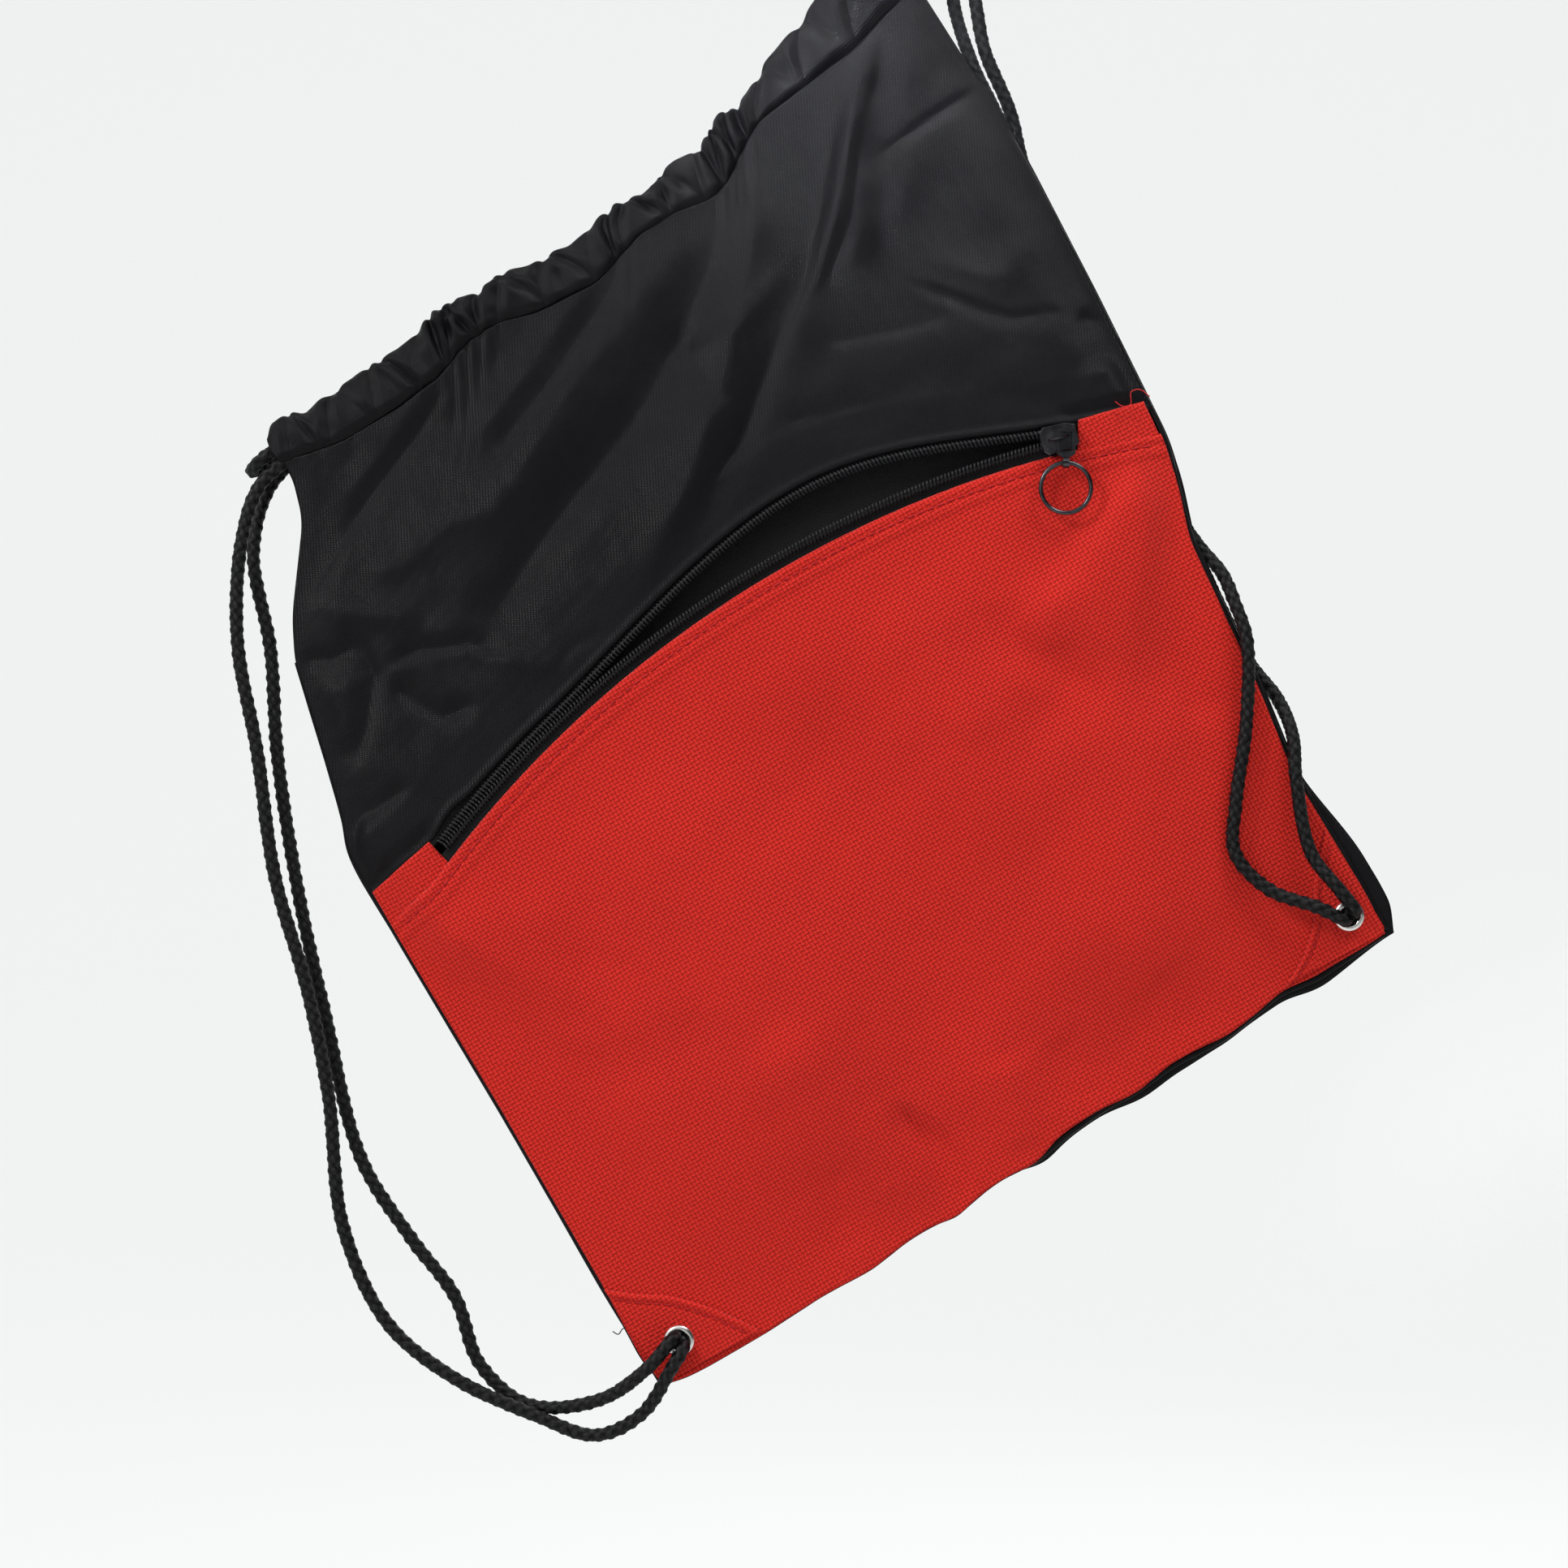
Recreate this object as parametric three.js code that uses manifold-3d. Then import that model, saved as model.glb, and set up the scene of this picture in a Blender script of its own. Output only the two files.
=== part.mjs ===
// Drawstring backpack, empty, hanging from its drawcords at the upper right corner.
// Units are millimetres, +Z is up, the pocket side faces -Y. The origin is the point
// where the right-hand cords hang over the hand or hook that holds the bag.
// The bag's own flat layout is written as (a, b, d): a across from the bottom left
// corner, b up the bag, d out of the pocket side.
import * as THREE from 'three';
import { mergeVertices } from 'three/addons/utils/BufferGeometryUtils.js';
import Module from 'manifold-3d';

const wasm = await Module();
wasm.setup();

// Driving dimensions
const TILT = THREE.MathUtils.degToRad(30); // how far the bag hangs off square
const CORNER = [-109.4, 0, -556.3]; // bottom left corner of the bag in the row frame
const CLOTH = 0.6; // thickness of one layer of cloth
const MOUTH_GAP = 15; // front casing to back casing
const POCKET_DEPTH = 6.4; // how far the pocket front stands off its lining
const SEAM_WIDTH = 2.4;
const CASING_HEIGHT = 21;
const CASING_DEPTH = 7.4;
const ZIP_CENTRE = [197, -183]; // the arched zip is part of a circle
const ZIP_RADIUS = 437.3; // where the two rows of teeth meet
const POCKET_RADIUS = 431.5; // folded edge of the pocket front
const ZIP_START = -23.4; // degrees from straight up, at the left tab
const ZIP_END = 16.9; // at the right tab
const LIP_RISE = 15; // how far the upper row of teeth gapes
const TAPE_LEVEL = 5.2;
const COIL_LEVEL = 6.1;
const COIL_WIDTH = 2.6;
const COIL_HEIGHT = 2;
const SLIDER_ANGLE = 15.5;
const SLIDER_LENGTH = 14;
const SLIDER_WIDTH = 11;
const RING_RADIUS = 9.6;
const RING_WIRE = 0.85;
const EYELET_FLANGE = 6;
const EYELET_BORE = 3.4;
const CORD_RADIUS = 2.5;
const EYELETS = { left: [14.5, 11.4], right: [319.1, 24] };

// Outline of the bag laid flat, as [a, b] or [b, a] rows
const LEFT_EDGE = [
  [-4, 0], [11, -3], [43, -2], [122, -2], [191, -3], [238, -3], [250, 2],
  [283, 10], [311, 16], [327, 24], [357, 46], [380, 50],
];
const RIGHT_EDGE = [
  [7, 329.5], [27, 331], [82, 330], [118, 335], [180, 340.5], [218, 351],
  [242, 352.6], [280, 355], [335, 357.5], [369, 357.5], [418, 355],
];
const BOTTOM_EDGE = [
  [-3, 0], [21, -3.4], [45, -3.3], [92, -2.7], [131, -1.6], [168, 1], [200, 5.5],
  [244, 7], [282, 10], [306, 7.6], [330, 10],
];
const CASING_LINE = [
  [51, 383], [92, 388.5], [140, 390], [190, 389], [236, 395.5], [267, 402],
  [312, 417], [357, 427],
];

const BLACK = { color: 0x232124, roughness: 0.5, metalness: 0 };
const RED = { color: 0xb42826, roughness: 0.8, metalness: 0 };
const CORD = { color: 0x1c1c1e, roughness: 0.85, metalness: 0 };
const TOOTH = { color: 0x151516, roughness: 0.45, metalness: 0 };
const SILVER = { color: 0xc9c9c6, roughness: 0.25, metalness: 1 };
const GUNMETAL = { color: 0x2c2c30, roughness: 0.35, metalness: 0.9 };

const bag = new THREE.Group();
bag.rotation.y = -TILT;
bag.position.set(...CORNER);
const backpack = new THREE.Group();
backpack.add(bag);

// Value of a line of [x, y] rows at x
function along(rows, x) {
  const last = rows.length - 1;
  if (x <= rows[0][0]) return rows[0][1];
  for (let i = 0; i < last; i += 1) {
    const [x0, y0] = rows[i];
    const [x1, y1] = rows[i + 1];
    if (x <= x1) return y0 + ((y1 - y0) * (x - x0)) / (x1 - x0);
  }
  return rows[last][1];
}

function rise(x, from, to) {
  return THREE.MathUtils.smoothstep(x, from, to);
}

function place(group, name, geometry, material) {
  const mesh = new THREE.Mesh(geometry, new THREE.MeshStandardMaterial(material));
  mesh.name = name;
  group.add(mesh);
  return mesh;
}

// A closed mesh as a solid for cutting and joining, and back again
function solid(geometry) {
  const bare = geometry.clone();
  bare.deleteAttribute('normal');
  bare.deleteAttribute('uv');
  const merged = mergeVertices(bare, 1e-3);
  return new wasm.Manifold(new wasm.Mesh({
    numProp: 3,
    vertProperties: merged.attributes.position.array,
    triVerts: new Uint32Array(merged.index.array),
  }));
}

function shapeOf(manifold) {
  const mesh = manifold.getMesh();
  const geometry = new THREE.BufferGeometry();
  geometry.setAttribute('position', new THREE.BufferAttribute(mesh.vertProperties, 3));
  geometry.setIndex(new THREE.BufferAttribute(mesh.triVerts, 1));
  geometry.computeVertexNormals();
  return geometry;
}

// A flat piece drawn in (a, b) and standing from depth low to depth high
function plate(shape, low, high, bevel = 0, curves = 6) {
  const geometry = new THREE.ExtrudeGeometry(shape, {
    depth: high - low - 2 * bevel,
    curveSegments: curves,
    bevelEnabled: bevel > 0,
    bevelThickness: bevel,
    bevelSize: bevel,
    bevelOffset: -bevel,
    bevelSegments: 1,
  });
  geometry.rotateX(Math.PI / 2);
  geometry.translate(0, -low - bevel, 0);
  return geometry;
}

function polygon(points) {
  return new THREE.Shape(points.map(([x, y]) => new THREE.Vector2(x, y)));
}

// A cylinder along d
function drill([a, b], radius, low, high, sides = 20) {
  const geometry = new THREE.CylinderGeometry(radius, radius, high - low, sides);
  geometry.translate(a, -(low + high) / 2, b);
  return geometry;
}

// A sheet of cloth: a slab whose corners follow the outline, at the depth given
function sheet(columns, rows, bottom, top, depth, inset) {
  const geometry = new THREE.BoxGeometry(1, 1, 1, columns, 1, rows);
  const points = geometry.attributes.position;
  for (let i = 0; i < points.count; i += 1) {
    const across = points.getX(i) + 0.5;
    const up = points.getZ(i) + 0.5;
    let a = 350 * across;
    let b = 0;
    for (let pass = 0; pass < 5; pass += 1) {
      b = THREE.MathUtils.lerp(bottom(a), top(a), up);
      const left = along(LEFT_EDGE, b) + inset;
      const right = along(RIGHT_EDGE, b) - inset;
      a = THREE.MathUtils.lerp(left, right, across);
    }
    points.setXYZ(i, a, -depth(a, b) + points.getY(i) * CLOTH, b);
  }
  return geometry;
}

function holed(geometry, centres, radius) {
  let piece = solid(geometry);
  for (const centre of centres) piece = piece.subtract(solid(drill(centre, radius, -40, 40)));
  return shapeOf(piece);
}

// Distances that shape the hollows
const fromLeft = (a, b) => a - along(LEFT_EDGE, b);
const fromRight = (a, b) => along(RIGHT_EDGE, b) - a;
const bottomLine = (a) => along(BOTTOM_EDGE, a) + SEAM_WIDTH + 1.4;
const stitchLine = (a) => along(CASING_LINE, a) - CASING_HEIGHT / 2 - 1.2;
const arcHeight = (a, radius) => (
  ZIP_CENTRE[1] + Math.sqrt(radius ** 2 - (a - ZIP_CENTRE[0]) ** 2)
);
// 0 at the sides and bottom, 1 where the cloth stands free
const free = (a, b, near, far) => (
  rise(fromLeft(a, b), near, far)
  * rise(fromRight(a, b), near, far)
  * rise(b - along(BOTTOM_EDGE, a), near * 0.7, far)
);

// Main compartment: back panel, and a lining that also closes the pocket behind
const backDepth = (a, b) => {
  const nearMouth = rise(b, stitchLine(a) - 60, stitchLine(a) - 5);
  return -1 - (MOUTH_GAP - 1) * (1 - (1 - free(a, b, 30, 90)) * (1 - nearMouth));
};
const eyeletCentres = [EYELETS.left, EYELETS.right];
const INSET = SEAM_WIDTH + 1.7;
const backPanel = sheet(16, 18, bottomLine, stitchLine, backDepth, INSET);
place(bag, 'back_panel', holed(backPanel, eyeletCentres, 4.5), BLACK);

const liningTop = (a) => arcHeight(a, 476);
const lining = sheet(12, 10, bottomLine, liningTop, () => 0, INSET);
place(bag, 'pocket_lining', holed(lining, eyeletCentres, 4.5), BLACK);

// Gape of the upper row of teeth, 0 to 1, by angle along the zip in degrees
const gape = (angle) => (angle < 3.5 ? rise(angle, -14, 3.5) : 1 - rise(angle, 3.5, 18));
const angleAt = (a) => THREE.MathUtils.radToDeg(Math.asin((a - ZIP_CENTRE[0]) / 440));
const tabRoom = (a) => 6.5 * (1 - rise(a, 2, 30)) + 3.5 * rise(a, 318, 348);
const upperHem = (a) => arcHeight(a, 443.5) + LIP_RISE * gape(angleAt(a)) + tabRoom(a);
const upperDepth = (a, b) => {
  const aboveZip = 1 - rise(b - upperHem(a), 20, 120);
  return 0.95 + (TAPE_LEVEL + 0.15) * aboveZip * rise(fromLeft(a, b), 2, 18)
    * rise(fromRight(a, b), 2, 18);
};
place(bag, 'front_upper_panel', sheet(20, 8, upperHem, stitchLine, upperDepth, INSET), BLACK);

const pocketHem = (a) => arcHeight(a, POCKET_RADIUS);
// pressed flat at the corners, where the patches and eyelets clamp the layers
const pocketDepth = (a, b) => {
  const high = rise(b, 120, 200);
  const near = THREE.MathUtils.lerp(28, 2, high);
  const far = THREE.MathUtils.lerp(70, 18, high);
  return 1.05 + (POCKET_DEPTH - 0.95) * free(a, b, near, far);
};
const pocketPanel = sheet(18, 10, bottomLine, pocketHem, pocketDepth, INSET);
place(bag, 'pocket_panel', holed(pocketPanel, eyeletCentres, 4.5), RED);

// Casings: gathered hems with a channel for both drawcords
class Route extends THREE.CatmullRomCurve3 {
  // Steps fall evenly between the points, so short bends get short steps
  getSpacedPoints(divisions) { return this.getPoints(divisions); }
  getPointAt(t, target) { return this.getPoint(t, target); }
  getTangentAt(t, target) { return this.getTangent(t, target); }
}

function route(points) {
  return new Route(points.map((p) => new THREE.Vector3(...p)), false, 'centripetal');
}

function tube(points, radius, sides, stepsEach) {
  const section = new THREE.Shape().absarc(0, 0, radius, 0, 2 * Math.PI);
  return new THREE.ExtrudeGeometry(section, {
    steps: (points.length - 1) * stepsEach,
    curveSegments: sides / 2,
    extrudePath: route(points),
  });
}

function casing(depth) {
  const outline = [];
  for (let a = 50; a <= 356.6; a += 14.595) {
    outline.push([a, along(CASING_LINE, a) - CASING_HEIGHT / 2]);
  }
  for (let a = 356.5; a >= 50; a -= 3.65) {
    const puckers = 1.3 * Math.sin(a / 3.7) + 1.2 * Math.sin(a / 8.3 + 1);
    outline.push([a, along(CASING_LINE, a) + CASING_HEIGHT / 2 + puckers]);
  }
  const half = CASING_DEPTH / 2;
  const hem = solid(plate(polygon(outline), depth - half, depth + half, 1, 4));
  const channel = new THREE.Shape();
  channel.absarc(0, CORD_RADIUS + 0.4, 3.1, 0, Math.PI);
  channel.absarc(0, -CORD_RADIUS - 0.4, 3.1, Math.PI, 2 * Math.PI);
  const ends = [[30, 0, 379], ...CASING_LINE.map(([a, b]) => [a, 0, b]), [377, 0, 431]];
  const bore = new THREE.ExtrudeGeometry(channel, {
    steps: (ends.length - 1) * 2, curveSegments: 6, extrudePath: route(ends),
  });
  bore.translate(0, -depth, 0);
  return shapeOf(hem.subtract(solid(bore)));
}
place(bag, 'casing_front', casing(0), BLACK);
place(bag, 'casing_back', casing(-MOUTH_GAP), BLACK);

// Bound seams round the edge: narrow strips that hold the layers together
function strip(edge, low, high) {
  place(bag, edge.name, plate(polygon(edge.outline), low, high, 0.5), BLACK);
}
function sideOutline(rows, from, to, inward) {
  const outer = rows.filter(([b]) => b > from && b < to).map(([b, a]) => [a, b]);
  outer.unshift([along(rows, from), from]);
  outer.push([along(rows, to), to]);
  const inner = outer.map(([a, b]) => [a + inward, b]).reverse();
  return inward > 0 ? [...inner, ...outer] : [...outer, ...inner];
}
strip({ name: 'side_seam_left', outline: sideOutline(LEFT_EDGE, -0.2, 312, SEAM_WIDTH) }, -1.8, 1.9);
strip({ name: 'side_seam_right', outline: sideOutline(RIGHT_EDGE, 13, 352, -SEAM_WIDTH) }, -1.8, 1.9);
const hemLine = BOTTOM_EDGE.map(([a, b]) => [THREE.MathUtils.clamp(a, 3.2, 326), b]);
const hemTop = hemLine.map(([a, b]) => [a, b + SEAM_WIDTH]).reverse();
strip({ name: 'bottom_seam', outline: [...hemLine, ...hemTop] }, -1.8, 1.9);

// Red tabs that close both ends of the zip
const TAB_LEFT = [[0.4, 203.2], [30.2, 216], [27.2, 225], [0.4, 219]];
const TAB_RIGHT = [[317.7, 232.6], [347.3, 223], [348.3, 234.8], [324, 240.8]];
place(bag, 'zip_end_tab_left', plate(polygon(TAB_LEFT), 6.2, 6.8), RED);
place(bag, 'zip_end_tab_right', plate(polygon(TAB_RIGHT), 6.2, 6.8), RED);

// Corner patches with an eyelet each
const PATCH_LEFT = [
  [1.2, 42.3], [0.2, 11], [1.9, 4], [5, 2], [21, 0], [43, 0], [34, 12.5], [20.5, 26.5],
];
const PATCH_RIGHT = [
  [286, 12.9], [306, 10.9], [324.6, 13.4], [327.6, 27], [326.6, 57], [314, 42], [306.5, 29.5],
];
function patch(name, outline, eyelet) {
  place(bag, name, holed(plate(polygon(outline), 1.9, 2.5), [eyelet], 4.5), RED);
}
patch('corner_patch_left', PATCH_LEFT, EYELETS.left);
patch('corner_patch_right', PATCH_RIGHT, EYELETS.right);

// Profiles are [radius, height] and closed; height is d
function turned(profile, sides, [a, b]) {
  const points = profile.map(([r, d]) => new THREE.Vector2(r, d));
  points.push(points[0].clone());
  const geometry = new THREE.LatheGeometry(points, sides);
  geometry.rotateX(Math.PI);
  geometry.translate(a, 0, b);
  return geometry;
}
const EYELET = [
  [EYELET_BORE, -2.8], [EYELET_BORE + 0.6, -2.8], [EYELET_BORE + 0.6, 2.8],
  [EYELET_FLANGE, 2.8], [EYELET_FLANGE, 3.1], [5.1, 3.7], [4.3, 3.75], [EYELET_BORE, 3.2],
];
const WASHER = [[4.4, -2.5], [EYELET_FLANGE, -2.3], [EYELET_FLANGE, -1.7], [4.4, -1.7]];
// Overhand stopper knot behind the bag, with a neck through the eyelet
function knot([a, b]) {
  let body = solid(new THREE.SphereGeometry(5.4, 14, 10));
  for (const [lean, turn] of [[0.5, 0.3], [-0.6, 1.9]]) {
    const loop = new THREE.TorusGeometry(4.6, CORD_RADIUS, 8, 18);
    loop.rotateX(lean + Math.PI / 2);
    loop.rotateY(turn);
    body = body.add(solid(loop));
  }
  const centre = [a, -10.6, b];
  let neck = solid(drill([a, b], 2.9, -8, 4.4, 16));
  neck = neck.add(body.translate([centre[0], -centre[1], centre[2]]));
  return shapeOf(neck);
}
for (const [side, centre] of Object.entries(EYELETS)) {
  place(bag, `eyelet_${side}`, turned(EYELET, 28, centre), SILVER);
  place(bag, `eyelet_washer_${side}`, turned(WASHER, 24, centre), SILVER);
  place(bag, `cord_knot_${side}`, knot(centre), CORD);
}

// Zip: tapes and coiled teeth. The upper row gapes above the meeting line.
function zipPoint(angle, radius, lift) {
  const turn = THREE.MathUtils.degToRad(angle);
  const a = ZIP_CENTRE[0] + radius * Math.sin(turn);
  const b = ZIP_CENTRE[1] + radius * Math.cos(turn) + lift * gape(angle);
  return [a, b];
}
function zipLine(radius, lift, start, end, steps) {
  const points = [];
  for (let i = 0; i <= steps; i += 1) {
    points.push(zipPoint(start + ((end - start) * i) / steps, radius, lift));
  }
  return points;
}
function tape(inner, outer, lift) {
  const low = zipLine(inner, lift, ZIP_START, ZIP_END, 26);
  const high = zipLine(outer, lift, ZIP_START, ZIP_END, 26).reverse();
  return plate(polygon([...low, ...high]), TAPE_LEVEL, TAPE_LEVEL + CLOTH);
}
function coil(radius, lift) {
  const section = new THREE.Shape();
  section.absellipse(0, 0, COIL_HEIGHT / 2, COIL_WIDTH / 2, 0, 2 * Math.PI);
  const line = zipLine(radius, lift, -22.1, 16, 26).map(([a, b]) => [a, 0, b]);
  const geometry = new THREE.ExtrudeGeometry(section, {
    steps: 26, curveSegments: 4, extrudePath: route(line),
  });
  geometry.translate(0, -COIL_LEVEL - COIL_HEIGHT / 2, 0);
  return geometry;
}
place(bag, 'zip_tape_lower', tape(427, 435.2, 0), TOOTH);
place(bag, 'zip_coil_lower', coil(ZIP_RADIUS - 1.4, 0), TOOTH);
place(bag, 'zip_tape_upper', tape(439.4, 447, LIP_RISE), TOOTH);
place(bag, 'zip_coil_upper', coil(ZIP_RADIUS + 1.4, LIP_RISE), TOOTH);

// Slider: u runs along the zip, v away from its centre
const slider = new THREE.Group();
const [sliderA, sliderB] = zipPoint(SLIDER_ANGLE, ZIP_RADIUS, 0);
slider.position.set(sliderA, 0, sliderB);
slider.rotation.y = THREE.MathUtils.degToRad(SLIDER_ANGLE);
bag.add(slider);
const U = SLIDER_LENGTH / 2;
const V = SLIDER_WIDTH / 2;
const PLATE = polygon([
  [-U, -V + 1.6], [-U + 1.8, -V], [U - 3, -V + 0.6], [U, -V + 1.8],
  [U, V - 1.8], [U - 3, V - 0.6], [-U + 1.8, V], [-U, V - 1.6],
]);
const POST = polygon([[-U + 0.4, 0.9], [-U + 1.4, 0.2], [-U + 2.6, 0.8], [-U + 1.4, 1.5]]);
const lipOf = (v, u) => polygon([[u, v], [U - 3.4, v], [U - 3.4, v + 0.7], [u, v + 0.7]]);
let sliderBody = solid(plate(PLATE, 3.8, 4.7, 0.25));
sliderBody = sliderBody.add(solid(plate(PLATE, 8.5, 9.6, 0.3)));
sliderBody = sliderBody.add(solid(plate(POST, 4, 9)));
for (const [v, u] of [[-V + 0.3, -U + 1.8], [V - 0.9, -1.5]]) {
  sliderBody = sliderBody.add(solid(plate(lipOf(v, u), 7.1, 9)));
}
const BRIDGE_PATH = [
  [-3.6, -9, 0], [-3.6, -10.9, 0], [-3.2, -11.9, 0], [-2, -12.6, 0], [-0.6, -12.8, 0],
  [0.9, -12.6, 0], [2, -11.9, 0], [2.4, -10.9, 0], [2.4, -9, 0],
];
const bridgeShape = new THREE.Shape().absellipse(0, 0, 0.75, 1.1, 0, 2 * Math.PI);
const bridge = new THREE.ExtrudeGeometry(bridgeShape, {
  steps: 12, curveSegments: 5, extrudePath: route(BRIDGE_PATH),
});
sliderBody = sliderBody.add(solid(bridge));
place(slider, 'zip_slider', shapeOf(sliderBody), GUNMETAL);

// Puller: a flat frame hanging plumb round the bridge's right foot, then a ring
const [footA, footB] = [
  sliderA + 2.4 * Math.cos(slider.rotation.y),
  sliderB - 2.4 * Math.sin(slider.rotation.y),
];
const hanging = new THREE.Group();
hanging.position.set(footA, 0, footB);
hanging.rotation.y = TILT;
bag.add(hanging);
const frame = polygon([
  [-3.6, 2.9], [3.6, 2.9], [3.6, -6.9], [1.1, -8.3], [1.1, -10], [-1.1, -10], [-1.1, -8.3],
  [-3.6, -6.9],
]);
const frameHole = polygon([[-2.4, 1.7], [-2.4, -5.8], [2.4, -5.8], [2.4, 1.7]]);
frame.holes.push(frameHole);
const PULLER_LEVEL = 10.1;
let puller = solid(plate(frame, PULLER_LEVEL, PULLER_LEVEL + 1));
const KNUCKLE_Z = -10.2;
const knuckle = new THREE.CylinderGeometry(2.1, 2.1, 2.4, 14);
knuckle.rotateZ(Math.PI / 2);
knuckle.translate(0, -PULLER_LEVEL - 0.5, KNUCKLE_Z);
puller = puller.add(solid(knuckle));
// The eye for the ring runs through the knuckle from side to side
const eye = new THREE.TorusGeometry(RING_RADIUS, RING_WIRE + 0.6, 8, 40);
eye.rotateX(Math.PI / 2);
const ringAt = [0, -PULLER_LEVEL - 0.5, KNUCKLE_Z - RING_RADIUS];
eye.translate(...ringAt);
puller = puller.subtract(solid(eye));
place(hanging, 'zip_puller', shapeOf(puller), GUNMETAL);
const ring = new THREE.TorusGeometry(RING_RADIUS, RING_WIRE, 8, 40);
ring.rotateX(Math.PI / 2);
ring.translate(...ringAt);
place(hanging, 'pull_ring', ring, GUNMETAL);

// Drawcords, in the row frame: eyelet, through both casings and back to the eyelet
const CORD_LEFT = [
  [-100.6, -7.1, -540.9], [-105, -10, -548.4], [-116.6, -6.5, -566.6], [-134.4, -4, -575.3],
  [-157.8, -3, -567.8], [-189.1, -3, -553.4], [-214.7, -3, -532.2], [-231.6, -3, -495.3],
  [-237.2, -3, -445.3], [-245.3, -3, -404.7], [-257.8, -3, -360.9], [-264.7, -3, -312.5],
  [-272.2, -3, -270.3], [-270.9, -2, -232.8], [-264.7, -0.5, -211.6], [-255.3, 0, -201.6],
  [-222.5, 0, -176.3], [-181.7, 0, -151], [-137.9, 0, -126.9], [-101.3, 0, -98.2],
  [-77.7, 0, -77.1], [-46.2, 0, -41.6], [-12.3, 0, -10.5], [-5.8, -0.2, -8.6],
  [0.6, 7.5, -7.8], [-5.8, 15.2, -8.6], [-12.3, 15, -10.5], [-46.2, 15, -41.6],
  [-77.7, 15, -77.1], [-101.3, 15, -98.2], [-137.9, 15, -126.9], [-181.7, 15, -151],
  [-222.5, 15, -176.3], [-255.3, 15, -201.6], [-263.4, 14.5, -212.2], [-267.8, 9, -235.9],
  [-260.6, 5, -273.4], [-257.8, 4, -314.1], [-249.7, 4, -367.2], [-239.4, 4, -414.1],
  [-225.3, 4, -470.3], [-206.2, 4, -500.6], [-189.1, 4, -523.4], [-179.7, 4, -549.1],
  [-160.9, 1.5, -564.4], [-132.8, -4.5, -561.6], [-114.1, -9.7, -548.4],
  [-104.4, -7.1, -537.2],
];
const CORD_RIGHT = [
  [153, -7.1, -377.8], [142.8, -10, -372.8], [123.4, -7.6, -365.6], [110.6, -7, -351.6],
  [110.9, -7, -332.8], [115, -6.5, -301.6], [115.3, -5.6, -270.3], [110.9, -2.5, -255.3],
  [106.6, 1.5, -244.1], [97.2, 5, -232.2], [73.4, 5.3, -193.8], [49.1, 7, -139.1],
  [31.6, 10.5, -89.1], [25, 8, -64.1], [15.3, 4, -42.2], [11.6, 3, -23.4], [7.8, 1.5, -5.3],
  [-0.9, 0, 1.6], [-8.4, -0.3, -1.7], [-15.2, 0, -5.4], [-49.1, 0, -36.6], [-80.6, 0, -72.1],
  [-104.2, 0, -93.2], [-140.8, 0, -121.9], [-184.6, 0, -146], [-225.4, 0, -171.3],
  [-258.2, 0, -196.6], [-263.4, -0.2, -200.4], [-268.1, 7.5, -204.3], [-263.4, 15.2, -200.4],
  [-258.2, 15, -196.6], [-225.4, 15, -171.3], [-184.6, 15, -146], [-140.8, 15, -121.9],
  [-104.2, 15, -93.2], [-80.6, 15, -72.1], [-49.1, 15, -36.6], [-15.2, 15, -5.4],
  [-8.4, 16, -2], [-2.2, 17.6, -0.3], [2.8, 18, -6.2], [4.1, 18, -21.9], [10.9, 17, -44.1],
  [24.7, 17, -73.4], [42.2, 15, -123.4], [73.4, 12, -185.9], [99.7, 10.5, -240.9],
  [117.2, 8, -277.2], [128.1, 3.2, -292.2], [133.1, -3, -306.2], [134.1, -6.3, -323.4],
  [139.7, -7, -351.6], [150, -10, -365.6], [157, -7.1, -374.1],
];
place(backpack, 'drawcord_left', tube(CORD_LEFT, CORD_RADIUS, 10, 2), CORD);
place(backpack, 'drawcord_right', tube(CORD_RIGHT, CORD_RADIUS, 10, 2), CORD);

export default backpack;
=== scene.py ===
import math

import bmesh
import bpy
import numpy as np
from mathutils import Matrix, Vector

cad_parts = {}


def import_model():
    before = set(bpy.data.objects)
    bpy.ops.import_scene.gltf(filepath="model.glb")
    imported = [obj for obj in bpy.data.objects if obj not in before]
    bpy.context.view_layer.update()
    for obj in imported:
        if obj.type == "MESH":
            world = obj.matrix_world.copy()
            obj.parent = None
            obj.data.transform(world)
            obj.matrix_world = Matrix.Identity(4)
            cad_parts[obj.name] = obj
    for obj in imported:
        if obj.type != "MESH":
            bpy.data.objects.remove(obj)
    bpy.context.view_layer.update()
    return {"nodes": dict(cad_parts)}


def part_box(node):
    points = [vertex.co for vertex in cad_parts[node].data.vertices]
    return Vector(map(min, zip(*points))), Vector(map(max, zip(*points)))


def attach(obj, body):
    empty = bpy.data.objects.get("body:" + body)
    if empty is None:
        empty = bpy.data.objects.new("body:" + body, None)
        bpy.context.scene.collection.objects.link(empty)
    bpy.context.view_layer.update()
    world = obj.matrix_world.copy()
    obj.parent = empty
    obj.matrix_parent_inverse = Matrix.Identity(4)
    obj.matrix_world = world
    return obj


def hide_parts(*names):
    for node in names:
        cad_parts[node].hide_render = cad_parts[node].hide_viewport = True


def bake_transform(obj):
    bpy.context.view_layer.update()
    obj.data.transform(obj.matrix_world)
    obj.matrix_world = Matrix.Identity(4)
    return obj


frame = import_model()

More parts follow.
